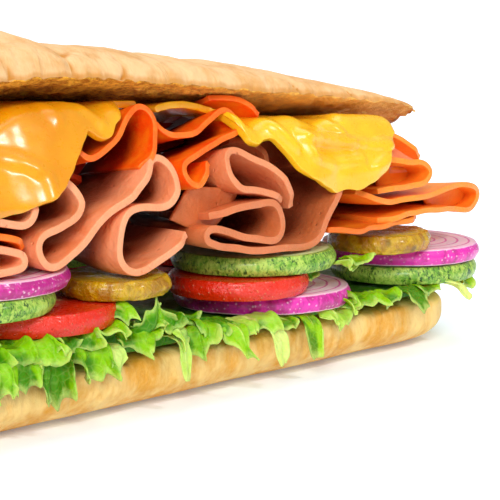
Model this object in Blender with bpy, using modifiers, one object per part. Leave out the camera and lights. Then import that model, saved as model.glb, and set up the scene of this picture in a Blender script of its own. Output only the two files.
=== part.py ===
"""A footlong submarine sandwich: a split loaf filled with folded ham, pepperoni, cheese and sliced salad.

The sandwich lies along X with its filled front towards -Y, and stands on Z = 0 with the origin under its
middle. Sizes are in millimetres, and MM turns them into metres when a mesh is finished.
"""

import math
import random

import bmesh
import bpy
from mathutils import noise

MM = 0.001
SEED = 7
GAP = 0.35

# Loaf
HALF_LENGTH = 150.0
HALF_WIDTH = 41.0
END_LENGTH = 35.0
END_SQUARENESS = 3.0
CUT_HEIGHT = 17.0
WIDEST_HEIGHT = 10.0
UNDERSIDE_SINK = 2.5
LOAF_RINGS = 30
LOAF_SIDES = 24
CRUST_LUMP = 1.1
CRUST_LUMP_PITCH = 24.0
LUMP_ACROSS = 50.0
LUMP_UP = 20.0
LUMP_SHIFT = 90.0

# Roundness of the two halves' sections and ends: 1 is an ellipse, less is squarer
SHOULDER_ACROSS_POWER = 0.55
SHOULDER_UP_POWER = 0.35
SHOULDER_END_POWER = 0.3
UNDERSIDE_ACROSS_POWER = 0.8
UNDERSIDE_DOWN_POWER = 0.9
UNDERSIDE_END_POWER = 0.5
LID_ACROSS_POWER = 0.7
LID_DOME_POWER = 0.85
LID_END_POWER = 0.8

# Upper half, opened towards the front
LIP_Y = -32.0
LID_BACK_Y = 42.0
LIP_HEIGHT = 91.3
LIP_FALL = 0.105
LIP_PEAK_X = -22.0
LIP_PEAK_WIDTH = 16.0
LID_SLOPE = 0.235
LID_HALF_LENGTH = 145.0
LID_THICKNESS = 20.0
LID_THICKNESS_FALL = 0.08
LID_BACK_FULLNESS = 0.35

# Salad
LETTUCE_TOP_LOW = 19.4
LETTUCE_TOP_HIGH = 25.4
LETTUCE_STEP_X = 32.0
LETTUCE_STEP_WIDTH = 9.0
BED_INSET = 5.0
BED_END_MARGIN = 1.0
BED_END_WIDTH = 0.2
BED_COLUMNS = 30
BED_ROWS = 2
RIM_STEPS = 120
RIM_INSET = 6.5
LEAF_COUNT = 18
LEAF_STAGGER = 0.2
LEAF_WIDTH = 41.0
LEAF_THICKNESS = 1.3
LEAF_COLUMNS = 7
LEAF_ROWS = 3
LEAF_REACH = 10.0
LEAF_DROP = (5.0, 11.0)
LEAF_CORNER_RISE = 0.7
LEAF_SPREAD = 0.25
LEAF_WAVES = (1.6, 2.4)
LEAF_RIPPLE = 1.4
LEAF_RIPPLE_RUN = 3.0
LEAF_LIFT = 0.35
SLICE_SIDES = 24
SLICE_SIDES_HIDDEN = 18
SLICE_RIM_BULGE = 0.8
SLICE_OVAL = 0.02
SLICE_WOBBLE = 0.012

# Meat and cheese
HAM_THICKNESS = 2.2
PEPPERONI_THICKNESS = 1.9
CHEESE_THICKNESS = 2.0
BEND_STEP = 42.0
FOLD_FRONT_Y = -42.0
FOLD_BACK_Y = 40.0
FOLD_FLOOR = 39.0
FOLD_FLOOR_BACK = 39.6
FOLD_TOP = 84.5
FOLD_TOP_BACK_GAP = 4.0
FOLD_SKEW = 44.0
LEAN_START = 60.0
LEAN_RATE = 0.6
END_START = 110.0
END_DEPTH_FRONT = 6.0
END_DEPTH_BACK = 14.0
FRONT_STAGGER = 0.03
CHEESE_BELOW_LID = 1.9
CHEESE_SAG = 4.5
CHEESE_SAG_START_Y = -10.0
CHEESE_HANG_START = 4.0
CHEESE_BEND = 6.0
CHEESE_TURN = math.atan(1.0 / LEAN_RATE)
CHEESE_PROUD = 1.7
CHEESE_TUCKED_Y = -17.0
CHEESE_BACK_Y = 36.0
CHEESE_COLUMNS = 12
CHEESE_ROWS = (0.0, 0.35, 0.6, 0.68, 0.75, 0.82, 0.91, 1.0)

CRUST = ("crust", (0.82, 0.52, 0.25), 0.6)
CRUST_BOTTOM = ("crust_bottom", (0.78, 0.45, 0.17), 0.6)
LETTUCE = ("lettuce", (0.30, 0.58, 0.05), 0.4)
TOMATO = ("tomato", (0.85, 0.06, 0.02), 0.25)
CUCUMBER = ("cucumber", (0.20, 0.40, 0.06), 0.35)
ONION = ("onion", (0.45, 0.03, 0.30), 0.3)
PICKLE = ("pickle", (0.45, 0.36, 0.02), 0.3)
HAM = ("ham", (0.80, 0.35, 0.22), 0.45)
PEPPERONI = ("pepperoni", (0.75, 0.12, 0.02), 0.4)
CHEESE = ("cheese", (0.98, 0.58, 0.05), 0.3)

# Salad slices: name, material, centre x and y, underside height, radius, thickness
SLICES = (
    ("tomato_1", TOMATO, -18.5, -18.5, 25.9, 26.5, 5.8),
    ("cucumber_1", CUCUMBER, -40.0, -22.5, 32.1, 22.5, 5.4),
    ("pickle_1", PICKLE, 4.0, -29.5, 32.1, 15.5, 5.2),
    ("onion_1", ONION, -36.5, -19.0, 37.8, 26.5, 4.6),
    ("onion_2", ONION, 72.0, -20.0, 19.9, 26.5, 5.4),
    ("tomato_2", TOMATO, 57.0, -24.5, 25.7, 21.5, 5.6),
    ("cucumber_2", CUCUMBER, 66.5, -21.5, 31.7, 24.5, 5.6),
    ("cucumber_3", CUCUMBER, 138.0, -20.5, 20.5, 24.5, 5.6),
    ("onion_3", ONION, 137.0, -19.5, 26.7, 26.0, 5.2),
    ("pickle_2", PICKLE, 115.5, -29.5, 32.3, 16.0, 5.6),
)
SLICES_HIDDEN = (
    ("cucumber_4", CUCUMBER, -72.0, -19.0, 25.9, 24.5, 5.6),
    ("tomato_3", TOMATO, -90.0, -19.5, 32.1, 26.0, 5.6),
    ("pickle_3", PICKLE, -84.0, -28.0, 38.2, 16.0, 3.6),
    ("tomato_4", TOMATO, -123.0, -18.0, 25.9, 26.0, 5.6),
    ("onion_4", ONION, -136.0, 2.0, 32.1, 20.0, 5.0),
    ("cucumber_5", CUCUMBER, -116.0, 27.0, 25.9, 18.0, 5.6),
    ("tomato_5", TOMATO, -62.0, 28.5, 25.9, 20.5, 5.6),
    ("onion_5", ONION, -72.0, 26.5, 32.1, 19.0, 5.2),
    ("cucumber_6", CUCUMBER, -16.0, 28.5, 25.9, 18.5, 5.6),
    ("pickle_4", PICKLE, -34.0, 28.0, 32.1, 16.5, 5.2),
    ("tomato_6", TOMATO, 34.0, 28.0, 25.9, 21.0, 5.8),
    ("cucumber_7", CUCUMBER, 26.0, 27.0, 32.1, 19.0, 5.2),
    ("onion_6", ONION, 83.0, 29.0, 19.9, 21.0, 5.4),
    ("tomato_7", TOMATO, 90.0, 27.0, 25.7, 20.5, 5.6),
)

# Folded meat seen from the front: name, material, start x and z, heading, then one row for each bend:
# straight run, bend radius and turn in degrees, positive to the left. The last run ends the slice.
FOLDS = (
    ("ham_1", HAM, (-28.0, 67.0), -10.0, (
        (7.0, 5.6, -160.0), (7.0, 4.8, 195.0), (6.0, 12.0, 20.0), (7.0, 10.0, -28.0), (5.0, 12.0, 22.0),
        (12.3, 4.6, -150.0), (3.9, 5.5, -75.0), (9.0, 6.0, 85.0), (5.5, 6.2, 120.0), (10.0, 20.0, 10.0),
        (7.0, 0, 0))),
    ("ham_2", HAM, (31.0, 51.3), 10.0, (
        (13.0, 20.0, -12.0), (5.0, 5.6, -186.0), (6.0, 15.0, -12.0), (8.0, 16.0, 14.0), (2.5, 2.0, 174.0),
        (20.0, 16.0, 12.0), (18.0, 7.0, 60.0), (17.0, 3.2, 110.0), (8.0, 0, 0))),
    ("ham_3", HAM, (64.5, 50.8), 114.0, (
        (6.0, 14.0, 40.0), (12.0, 5.2, 196.0), (10.0, 20.0, -14.0), (4.5, 0, 0))),
    ("ham_4", HAM, (21.6, 57.8), 0.0, (
        (7.0, 4.0, -50.0), (1.0, 0, 0))),
    ("ham_5", HAM, (53.0, 70.6), -12.0, (
        (5.0, 6.0, -50.0), (5.0, 0, 0))),
    ("ham_6", HAM, (-56.0, 60.0), -13.0, (
        (19.0, 4.2, 95.0), (5.0, 0, 0))),
    ("ham_7", HAM, (-56.0, 52.3), -9.0, (
        (16.0, 2.4, -171.0), (12.0, 0, 0))),
    ("ham_8", HAM, (95.0, 67.2), -8.0, (
        (10.0, 3.0, -40.0), (1.0, 0, 0))),
    ("pepperoni_1", PEPPERONI, (-10.6, 75.5), -130.0, (
        (1.0, 3.2, 164.0), (21.6, 4.2, -178.0), (11.0, 0, 0))),
    ("pepperoni_2", PEPPERONI, (20.6, 77.6), -86.0, (
        (1.0, 3.2, 82.0), (1.6, 18.0, 26.0), (12.8, 3.3, -188.0), (24.0, 3.6, 205.0), (8.0, 0, 0))),
    ("pepperoni_3", PEPPERONI, (102.0, 52.4), 2.0, (
        (23.0, 3.6, 172.0), (16.0, 0, 0))),
    ("pepperoni_4", PEPPERONI, (92.5, 53.0), -24.0, (
        (8.0, 14.0, 27.0), (43.5, 4.6, -193.0), (18.0, 20.0, 12.0), (25.0, 0, 0))),
    ("pepperoni_5", PEPPERONI, (-56.0, 56.0), -11.0, (
        (17.0, 5.0, -45.0), (1.0, 0, 0))),
    ("pepperoni_6", PEPPERONI, (80.0, 42.4), -8.0, (
        (6.0, 20.0, 10.0), (32.0, 0, 0))),
)
FOLDS_HIDDEN = (
    ("ham_9", HAM, (-62.0, 46.8), 174.0, (
        (22.0, 3.0, -180.0), (20.0, 3.0, 180.0), (24.0, 0, 0))),
    ("ham_10", HAM, (-122.0, 65.2), 2.0, (
        (20.0, 2.6, 176.0), (14.0, 0, 0))),
    ("pepperoni_7", PEPPERONI, (-98.0, 51.2), 178.0, (
        (40.0, 3.3, 180.0), (36.0, 0, 0))),
    ("pepperoni_8", PEPPERONI, (-98.0, 54.4), 176.0, (
        (22.0, 3.4, -176.0), (18.0, 0, 0))),
    ("pepperoni_9", PEPPERONI, (-84.0, 64.3), 2.0, (
        (20.0, 3.0, 180.0), (22.0, 0, 0))),
    ("pepperoni_10", PEPPERONI, (-16.6, 66.9), -14.0, (
        (15.5, 0, 0),)),
    ("ham_11", HAM, (-59.0, 71.5), 2.0, (
        (28.0, 2.6, 176.0), (22.0, 0, 0))),
)

# Cheese slices: name, left and right x, how far the lowest corner hangs, its x, half the hanging width, and
# how square the hanging part is
CHEESES = (
    ("cheese_1", -92.0, 17.0, 23.0, -47.0, 40.0, 3.0),
    ("cheese_2", 24.0, 118.0, 21.0, 88.0, 30.0, 1.3),
    ("cheese_3", -142.0, -97.0, 10.0, -119.0, 21.0, 1.6),
)


def clamp(value, low, high):
    return min(max(value, low), high)


def smooth_step(value, low, high):
    share = clamp((value - low) / (high - low), 0.0, 1.0)
    return share * share * (3.0 - 2.0 * share)


def signed_power(value, power):
    return math.copysign(abs(value) ** power, value)


def material(name, colour, roughness):
    """Returns the named material, made once."""
    found = bpy.data.materials.get(name)
    if found:
        return found
    made = bpy.data.materials.new(name)
    made.use_nodes = True
    made.diffuse_color = (*colour, 1.0)
    shader = made.node_tree.nodes["Principled BSDF"]
    shader.inputs["Base Color"].default_value = (*colour, 1.0)
    shader.inputs["Roughness"].default_value = roughness
    shader.inputs["Metallic"].default_value = 0.0
    return made


def finish(name, bm, finish_material, collection, smooth_angle=50.0):
    """Turns a mesh in millimetres into a named object in metres."""
    bmesh.ops.scale(bm, vec=(MM, MM, MM), verts=bm.verts)
    bmesh.ops.recalc_face_normals(bm, faces=bm.faces)
    mesh = bpy.data.meshes.new(name)
    bm.to_mesh(mesh)
    bm.free()
    mesh.shade_smooth()
    mesh.set_sharp_from_angle(angle=math.radians(smooth_angle))
    mesh.materials.append(material(*finish_material))
    made = bpy.data.objects.new(name, mesh)
    collection.objects.link(made)
    return made


def end_taper(x, half_length=HALF_LENGTH):
    """Width of the loaf's plan at x, as a share of its full width."""
    into_end = clamp((abs(x) - half_length + END_LENGTH) / END_LENGTH, 0.0, 1.0)
    return (1.0 - into_end**END_SQUARENESS) ** (1.0 / END_SQUARENESS)


def lip_height(x):
    """Height of the upper half's front lip, highest a little left of the middle."""
    return LIP_HEIGHT - LIP_FALL * (math.hypot(x - LIP_PEAK_X, LIP_PEAK_WIDTH) - LIP_PEAK_WIDTH)


def lid_face(x, y):
    """Height of the upper half's cut face."""
    return lip_height(x) - LID_SLOPE * (y - LIP_Y)


def loaf_sphere():
    """A sphere whose poles become the loaf's two ends, with each vertex's place along and around it."""
    bm = bmesh.new()
    bmesh.ops.create_uvsphere(bm, u_segments=LOAF_SIDES, v_segments=LOAF_RINGS, radius=1.0)
    places = [(v, v.co.z, math.atan2(v.co.y, v.co.x)) for v in bm.verts]
    return bm, places


def crust_lump(x, y, z):
    return CRUST_LUMP * noise.noise((x / CRUST_LUMP_PITCH, y / CRUST_LUMP_PITCH, z / CRUST_LUMP_PITCH))


def bread_bottom(collection):
    """The lower half: rounded crust on a flat underside, cut flat on top."""
    bm, places = loaf_sphere()
    for vertex, along, around in places:
        x = HALF_LENGTH * along
        taper = end_taper(x)
        across, up = math.cos(around), math.sin(around)
        lump = crust_lump(x, LUMP_ACROSS * across, LUMP_UP * up)
        if up >= 0.0:
            y = (HALF_WIDTH + lump * (1.0 - up)) * taper * signed_power(across, SHOULDER_ACROSS_POWER)
            rise = (CUT_HEIGHT - WIDEST_HEIGHT) * taper**SHOULDER_END_POWER * up**SHOULDER_UP_POWER
            z = WIDEST_HEIGHT + rise
        else:
            y = (HALF_WIDTH + lump) * taper * signed_power(across, UNDERSIDE_ACROSS_POWER)
            sink = (WIDEST_HEIGHT + UNDERSIDE_SINK) * taper**UNDERSIDE_END_POWER
            z = WIDEST_HEIGHT - sink * (-up) ** UNDERSIDE_DOWN_POWER
        vertex.co = (x, y, max(z, 0.0))
    return finish("bread_bottom", bm, CRUST_BOTTOM, collection)


def lid_thickness(x, taper):
    return (LID_THICKNESS - LID_THICKNESS_FALL * abs(x - LIP_PEAK_X)) * taper**LID_END_POWER


def bread_top(collection):
    """The upper half: a domed crust over a sloping cut face, thinner towards the front and the ends."""
    bm, places = loaf_sphere()
    middle = 0.5 * (LIP_Y + LID_BACK_Y)
    half_width = 0.5 * (LID_BACK_Y - LIP_Y)
    for vertex, along, around in places:
        x = LID_HALF_LENGTH * along
        taper = end_taper(x, LID_HALF_LENGTH)
        across, up = math.cos(around), math.sin(around)
        lump = crust_lump(x, LUMP_ACROSS * across + LUMP_SHIFT, LUMP_UP * up)
        side = signed_power(across, LID_ACROSS_POWER)
        y = middle + half_width * taper * side
        z = lid_face(x, y)
        if up > 0.0:
            rise = lid_thickness(x, taper) * (1.0 + LID_BACK_FULLNESS * side) + lump
            z += rise * up**LID_DOME_POWER
        vertex.co = (x, y, z + GAP * (1.0 - abs(up)))
    return finish("bread_top", bm, CRUST, collection)


def salad_slice(collection, place, sides):
    """A round slice lying flat, with a slightly bulging, uneven rim."""
    name, finish_material, x, y, low, radius, thickness = place
    bm = bmesh.new()
    bmesh.ops.create_cone(
        bm, cap_ends=True, segments=sides, radius1=1.0, radius2=1.0, depth=1.0)
    upright = [e for e in bm.edges if abs(e.verts[0].co.z - e.verts[1].co.z) > 0.5]
    bmesh.ops.subdivide_edges(bm, edges=upright, cuts=1)
    for vertex in bm.verts:
        angle = math.atan2(vertex.co.y, vertex.co.x)
        wobble = 1.0 + SLICE_OVAL * math.sin(2.0 * angle + x) + SLICE_WOBBLE * math.sin(3.0 * angle + y)
        reach = radius * wobble - (SLICE_RIM_BULGE if abs(vertex.co.z) > 0.25 else 0.0)
        vertex.co.x = x + reach * math.cos(angle)
        vertex.co.y = y + reach * math.sin(angle)
        vertex.co.z = low + thickness * (vertex.co.z + 0.5)
    return finish(name, bm, finish_material, collection)


def fold_line(start, heading, bends):
    """Points of a folded slice's edge: straight runs and round bends, one after the other."""
    x, z = start
    angle = math.radians(heading)
    points = [(x, z)]
    for run, radius, turn in bends:
        x += run * math.cos(angle)
        z += run * math.sin(angle)
        points.append((x, z))
        if not turn:
            continue
        steps = math.ceil(abs(turn) / BEND_STEP)
        step = math.radians(turn) / steps
        chord = 2.0 * radius * math.sin(abs(step) / 2.0)
        for _ in range(steps):
            x += chord * math.cos(angle + step / 2.0)
            z += chord * math.sin(angle + step / 2.0)
            angle += step
            points.append((x, z))
    return points


def past_end(x):
    return max(abs(x) - END_START, 0.0) / (HALF_LENGTH - END_START)


def fold_front(x, z):
    """Where a fold's front edge lies: it leans back under the lip and turns in at the loaf's ends."""
    inwards = END_DEPTH_FRONT * past_end(x) ** 2
    lean = LEAN_RATE * max(z - LEAN_START, 0.0)
    return x + inwards, FOLD_FRONT_Y + inwards + lean, z


def fold_back(x, z):
    """Where the same edge comes out at the back: skewed to the right and pressed flatter."""
    back_x = x + FOLD_SKEW * (1.0 - (x / HALF_LENGTH) ** 2)
    back_y = FOLD_BACK_Y - END_DEPTH_BACK * past_end(back_x) ** 2
    ceiling = lid_face(back_x, back_y) - FOLD_TOP_BACK_GAP
    share = (z - FOLD_FLOOR) / (FOLD_TOP - FOLD_FLOOR)
    return back_x, back_y, FOLD_FLOOR_BACK + share * (ceiling - FOLD_FLOOR_BACK)


def thickened(bm, thickness):
    """The open sheet made a solid of even thickness by Solidify."""
    mesh = bpy.data.meshes.new("sheet")
    bm.to_mesh(mesh)
    bm.free()
    sheet = bpy.data.objects.new("sheet", mesh)
    bpy.context.scene.collection.objects.link(sheet)
    solidify = sheet.modifiers.new("thickness", "SOLIDIFY")
    solidify.thickness = thickness
    solidify.offset = 0.0
    graph = bpy.context.evaluated_depsgraph_get()
    made = bpy.data.meshes.new_from_object(sheet.evaluated_get(graph))
    bpy.data.objects.remove(sheet)
    solid = bmesh.new()
    solid.from_mesh(made)
    bpy.data.meshes.remove(mesh)
    bpy.data.meshes.remove(made)
    return solid


def folded_slice(collection, fold, draws):
    """A slice of meat folded to and fro, running from the front of the sandwich to the back."""
    name, finish_material, start, heading, bends = fold
    points = fold_line(start, heading, bends)
    last = len(points) - 1
    bm = bmesh.new()
    bmesh.ops.create_grid(bm, x_segments=last, y_segments=1, size=0.5)
    for vertex in bm.verts:
        x, z = points[round((vertex.co.x + 0.5) * last)]
        vertex.co = (x, vertex.co.y + 0.5, z)
    solid = thickened(bm, HAM_THICKNESS if finish_material is HAM else PEPPERONI_THICKNESS)
    early = draws.uniform(0.0, FRONT_STAGGER)
    for vertex in solid.verts:
        depth = clamp(vertex.co.y, 0.0, 1.0) * (1.0 - early) + early
        front = fold_front(vertex.co.x, vertex.co.z)
        back = fold_back(vertex.co.x, vertex.co.z)
        vertex.co = [f + depth * (b - f) for f, b in zip(front, back)]
    return finish(name, solid, finish_material, collection, 60.0)


def cheese_drop(x, drop, corner, half_hang, squareness):
    """How far the cheese hangs at x: most at its corner, none where it is tucked in."""
    return drop * max(1.0 - (abs(x - corner) / half_hang) ** squareness, 0.0)


def cheese_shoulder(x):
    """Where hanging cheese starts to bend, so that it then lies against the fronts of the folds."""
    bend_run = CHEESE_BEND * (math.sin(CHEESE_TURN) - LEAN_RATE * (1.0 - math.cos(CHEESE_TURN)))
    level = lid_face(x, 0.0) - CHEESE_BELOW_LID - CHEESE_SAG - LEAN_START
    return (FOLD_FRONT_Y - CHEESE_PROUD + bend_run + LEAN_RATE * level) / (1.0 + LEAN_RATE * LID_SLOPE)


def cheese_point(x, share, drop):
    """A point on the cheese's middle surface, from its back edge to its front or hanging edge."""
    hanging = smooth_step(drop, 0.0, CHEESE_HANG_START)
    shoulder = CHEESE_TUCKED_Y + (cheese_shoulder(x) - CHEESE_TUCKED_Y) * hanging
    flat = CHEESE_BACK_Y * end_taper(x) - shoulder
    bend = CHEESE_BEND * CHEESE_TURN * hanging
    run = share * (flat + bend + drop)
    y = CHEESE_BACK_Y * end_taper(x) - min(run, flat)
    sag = CHEESE_SAG * hanging * smooth_step(y, CHEESE_SAG_START_Y, shoulder)
    z = lid_face(x, y) - CHEESE_BELOW_LID - sag
    turned = clamp((run - flat) / CHEESE_BEND, 0.0, bend / CHEESE_BEND)
    y -= CHEESE_BEND * math.sin(turned)
    z -= CHEESE_BEND * (1.0 - math.cos(turned))
    fall = max(run - flat - bend, 0.0)
    leaning = min(fall, max(z - LEAN_START, 0.0) / math.sin(CHEESE_TURN))
    y -= leaning * math.cos(CHEESE_TURN)
    z -= leaning * math.sin(CHEESE_TURN) + fall - leaning
    return y, z


def cheese_slice(collection, name, left, right, *hang):
    """A thin slice over the meat, its corner bent down over the front of the folds."""
    bm = bmesh.new()
    bmesh.ops.create_grid(
        bm, x_segments=CHEESE_COLUMNS, y_segments=len(CHEESE_ROWS) - 1, size=0.5)
    for vertex in bm.verts:
        x = left + (right - left) * (vertex.co.x + 0.5)
        row = round((vertex.co.y + 0.5) * (len(CHEESE_ROWS) - 1))
        vertex.co = (x, *cheese_point(x, CHEESE_ROWS[row], cheese_drop(x, *hang)))
    return finish(name, thickened(bm, CHEESE_THICKNESS), CHEESE, collection)


def lettuce_top(x):
    """Height of the lettuce bed's top, thicker under the left-hand salad."""
    share = smooth_step(x, LETTUCE_STEP_X - LETTUCE_STEP_WIDTH, LETTUCE_STEP_X + LETTUCE_STEP_WIDTH)
    return LETTUCE_TOP_HIGH + (LETTUCE_TOP_LOW - LETTUCE_TOP_HIGH) * share


def rim_stations(inset):
    """Points round the loaf's plan, moved in by inset, with the distance run so far."""
    power = 2.0 / END_SQUARENESS
    straight = HALF_LENGTH - END_LENGTH
    stations = []
    run = 0.0
    for i in range(RIM_STEPS + 1):
        angle = 2.0 * math.pi * (i + 0.5) / RIM_STEPS
        x = signed_power(math.cos(angle), power) * (END_LENGTH - inset)
        x += math.copysign(straight, math.cos(angle))
        y = signed_power(math.sin(angle), power) * (HALF_WIDTH - inset)
        if stations:
            run += math.dist((x, y), stations[-1][:2])
        stations.append((x, y, run))
    return stations


def rim_place(stations, run):
    """Point and outward direction at a distance round the plan."""
    whole = stations[-1][2]
    run %= whole
    for (ax, ay, a), (bx, by, b) in zip(stations, stations[1:]):
        if a <= run <= b and b > a:
            share = (run - a) / (b - a)
            step = b - a
            return ax + share * (bx - ax), ay + share * (by - ay), (by - ay) / step, (ax - bx) / step
    return stations[-1][0], stations[-1][1], 1.0, 0.0


def lettuce_bed():
    """The core of the lettuce: a slab on the lower half's cut face."""
    bm = bmesh.new()
    bmesh.ops.create_grid(bm, x_segments=BED_COLUMNS, y_segments=BED_ROWS, size=0.5)
    bottom = bm.faces[:]
    extruded = bmesh.ops.extrude_face_region(bm, geom=bottom)["geom"]
    top = {v for v in extruded if isinstance(v, bmesh.types.BMVert)}
    for vertex in bm.verts:
        x = (HALF_LENGTH - BED_INSET) * math.sin(math.pi * vertex.co.x)
        taper = end_taper(x, HALF_LENGTH - BED_INSET + BED_END_MARGIN)
        half = (HALF_WIDTH - BED_INSET) * max(taper, BED_END_WIDTH)
        z = lettuce_top(x) if vertex in top else CUT_HEIGHT + GAP
        vertex.co = (x, 2.0 * vertex.co.y * half, z)
    bmesh.ops.recalc_face_normals(bm, faces=bm.faces)
    return bm


def lettuce_leaf(stations, run, draws):
    """A leaf that starts in the bed, comes out over the crust's edge and hangs down in waves."""
    bm = bmesh.new()
    bmesh.ops.create_grid(bm, x_segments=LEAF_COLUMNS, y_segments=LEAF_ROWS, size=0.5)
    bmesh.ops.triangulate(bm, faces=bm.faces)
    drop = draws.uniform(*LEAF_DROP)
    phase = draws.uniform(0.0, 2.0 * math.pi)
    waves = draws.uniform(*LEAF_WAVES)
    for vertex in bm.verts:
        along, down = vertex.co.x, vertex.co.y + 0.5
        x, y, nx, ny = rim_place(stations, run + along * LEAF_WIDTH)
        wave = math.sin(2.0 * math.pi * waves * along + phase)
        place = down * (LEAF_REACH + drop * (1.0 - LEAF_CORNER_RISE * (2.0 * along) ** 2))
        fall = max(place - LEAF_REACH, 0.0)
        out = min(place, LEAF_REACH) + LEAF_SPREAD * fall
        out += LEAF_RIPPLE * (1.0 + wave) * clamp(fall / LEAF_RIPPLE_RUN, 0.0, 1.0)
        lift = 0.5 * (lettuce_top(x) - CUT_HEIGHT)
        z = CUT_HEIGHT + lift - fall + LEAF_LIFT * wave * lift * down
        vertex.co = (x + nx * out, y + ny * out, z)
    leaf = thickened(bm, LEAF_THICKNESS)
    bmesh.ops.recalc_face_normals(leaf, faces=leaf.faces)
    return leaf


def lettuce(collection, draws):
    """Leaves all round a bed, joined into one solid."""
    pieces = bpy.data.collections.new("lettuce_pieces")
    bpy.context.scene.collection.children.link(pieces)
    stations = rim_stations(RIM_INSET)
    whole = stations[-1][2]
    for i in range(LEAF_COUNT):
        place = i + draws.uniform(-LEAF_STAGGER, LEAF_STAGGER)
        leaf = lettuce_leaf(stations, whole * place / LEAF_COUNT, draws)
        finish(f"leaf_{i}", leaf, LETTUCE, pieces)
    bed = finish("lettuce", lettuce_bed(), LETTUCE, collection)
    union = bed.modifiers.new("leaves", "BOOLEAN")
    union.operation = "UNION"
    union.operand_type = "COLLECTION"
    union.collection = pieces
    union.solver = "EXACT"
    graph = bpy.context.evaluated_depsgraph_get()
    joined = bpy.data.meshes.new_from_object(bed.evaluated_get(graph))
    bed.modifiers.clear()
    bed.data = joined
    joined.name = "lettuce"
    for piece in list(pieces.objects):
        bpy.data.objects.remove(piece)
    bpy.data.collections.remove(pieces)
    return bed


def clear_scene():
    for found in list(bpy.data.objects):
        bpy.data.objects.remove(found)


def main():
    clear_scene()
    draws = random.Random(SEED)
    sandwich = bpy.data.collections.new("submarine_sandwich")
    bpy.context.scene.collection.children.link(sandwich)
    bread_bottom(sandwich)
    bread_top(sandwich)
    lettuce(sandwich, draws)
    for place in SLICES:
        salad_slice(sandwich, place, SLICE_SIDES)
    for place in SLICES_HIDDEN:
        salad_slice(sandwich, place, SLICE_SIDES_HIDDEN)
    for fold in FOLDS + FOLDS_HIDDEN:
        folded_slice(sandwich, fold, draws)
    for place in CHEESES:
        cheese_slice(sandwich, *place)


if __name__ == "__main__":
    main()
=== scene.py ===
"""The looks of the submarine sandwich: bread, frilly lettuce, wet salad slices, folded meat and soft cheese.

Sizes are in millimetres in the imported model's frame, with the filled front towards -Y, and MM turns them into
metres when a piece is finished.
"""

import math
import random

import bmesh
import bpy
from bpy.props import FloatProperty, FloatVectorProperty, PointerProperty
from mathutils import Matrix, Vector, noise


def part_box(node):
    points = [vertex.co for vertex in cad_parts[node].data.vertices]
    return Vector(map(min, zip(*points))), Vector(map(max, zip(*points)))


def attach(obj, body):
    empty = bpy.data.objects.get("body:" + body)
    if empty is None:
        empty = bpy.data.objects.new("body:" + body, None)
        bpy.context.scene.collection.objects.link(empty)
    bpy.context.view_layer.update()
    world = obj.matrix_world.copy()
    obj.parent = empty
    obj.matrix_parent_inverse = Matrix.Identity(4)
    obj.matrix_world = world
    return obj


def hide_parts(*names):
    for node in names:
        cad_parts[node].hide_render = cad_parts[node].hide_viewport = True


bl_info = {
    "name": "Submarine sandwich",
    "version": (1, 0, 0),
    "blender": (4, 5, 0),
    "location": "3D View > Sidebar > Sandwich",
    "description": "Dresses a packed submarine sandwich with bread, salad, meat and cheese",
    "category": "Object",
}

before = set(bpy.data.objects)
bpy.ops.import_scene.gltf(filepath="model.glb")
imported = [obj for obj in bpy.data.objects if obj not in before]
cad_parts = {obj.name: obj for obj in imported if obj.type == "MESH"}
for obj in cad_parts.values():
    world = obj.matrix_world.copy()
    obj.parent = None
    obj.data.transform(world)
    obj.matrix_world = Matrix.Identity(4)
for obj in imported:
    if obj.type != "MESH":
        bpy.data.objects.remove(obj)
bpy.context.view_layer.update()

MM = 0.001
SEED = 11

# Loaf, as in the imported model
HALF_LENGTH = 150.0
HALF_WIDTH = 41.0
END_LENGTH = 35.0
END_SQUARENESS = 3.0
CUT_HEIGHT = 17.0
WIDEST_HEIGHT = 10.0
UNDERSIDE_SINK = 2.5
LUMP_PITCH = 24.0
LUMP_ACROSS = 50.0
LUMP_UP = 20.0
LUMP_SHIFT = 90.0
SHOULDER_ACROSS_POWER = 0.55
SHOULDER_UP_POWER = 0.35
SHOULDER_END_POWER = 0.3
UNDERSIDE_ACROSS_POWER = 0.8
UNDERSIDE_DOWN_POWER = 0.9
UNDERSIDE_END_POWER = 0.5
LID_ACROSS_POWER = 0.7
LID_DOME_POWER = 0.85
LID_END_POWER = 0.8
LIP_Y = -32.0
LID_BACK_Y = 42.0
LIP_HEIGHT = 91.3
LIP_FALL = 0.105
LIP_PEAK_X = -22.0
LIP_PEAK_WIDTH = 16.0
LID_SLOPE = 0.235
LID_HALF_LENGTH = 145.0
LID_THICKNESS = 20.0
LID_THICKNESS_FALL = 0.08
LID_BACK_FULLNESS = 0.35
BREAD_RINGS = 300
BREAD_SIDES = 150
CREASE_COUNT = 15

# Rises and hollows along the top of the loaf, as x and millimetres
CROWN = ((-60, 0), (-40, 1.5), (-22, 1), (-14, -0.5), (-9, -1.5), (2, -1), (12, 0), (28, 0), (36, 1),
         (46, 0.5), (56, 1.5), (72, 2), (90, 1), (108, 0), (118, -1), (140, -1.5))

# Clefts in the upper crust: x and height over the lip at each end, half width and depth
CREASES = (
    (-33.5, 8, -31, 0, 1.5, 1.3),
    (-13, 12, -9.5, 0, 1, 1.8),
    (-4, 9.5, -11, 7, 0.9, 1.1),
    (9, 6.5, 6.5, 0, 1.6, 1.5),
    (30.5, 5, 31, 0, 0.9, 1.1),
    (70, 6, 76, 0.5, 0.6, 0.9),
    (96.5, 4.5, 99, 1, 0.6, 0.8),
)

# Salad
LEAVES_ROUND = 26
LETTUCE_TOP_LOW = 19.4
LETTUCE_TOP_HIGH = 25.4
LETTUCE_STEP_X = 32.0
LETTUCE_STEP_WIDTH = 9.0
BED_INSET = 3.0
RIM_STEPS = 160
RIM_INSET = 6.5
SLICE_SPOKES = 110
SLICE_BULGE = 0.8
SLICE_CORNER = 0.7
SLICE_OVAL = 0.02
SLICE_WOBBLE = 0.012
SLICE_RIM_CRINKLES = 26

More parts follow.
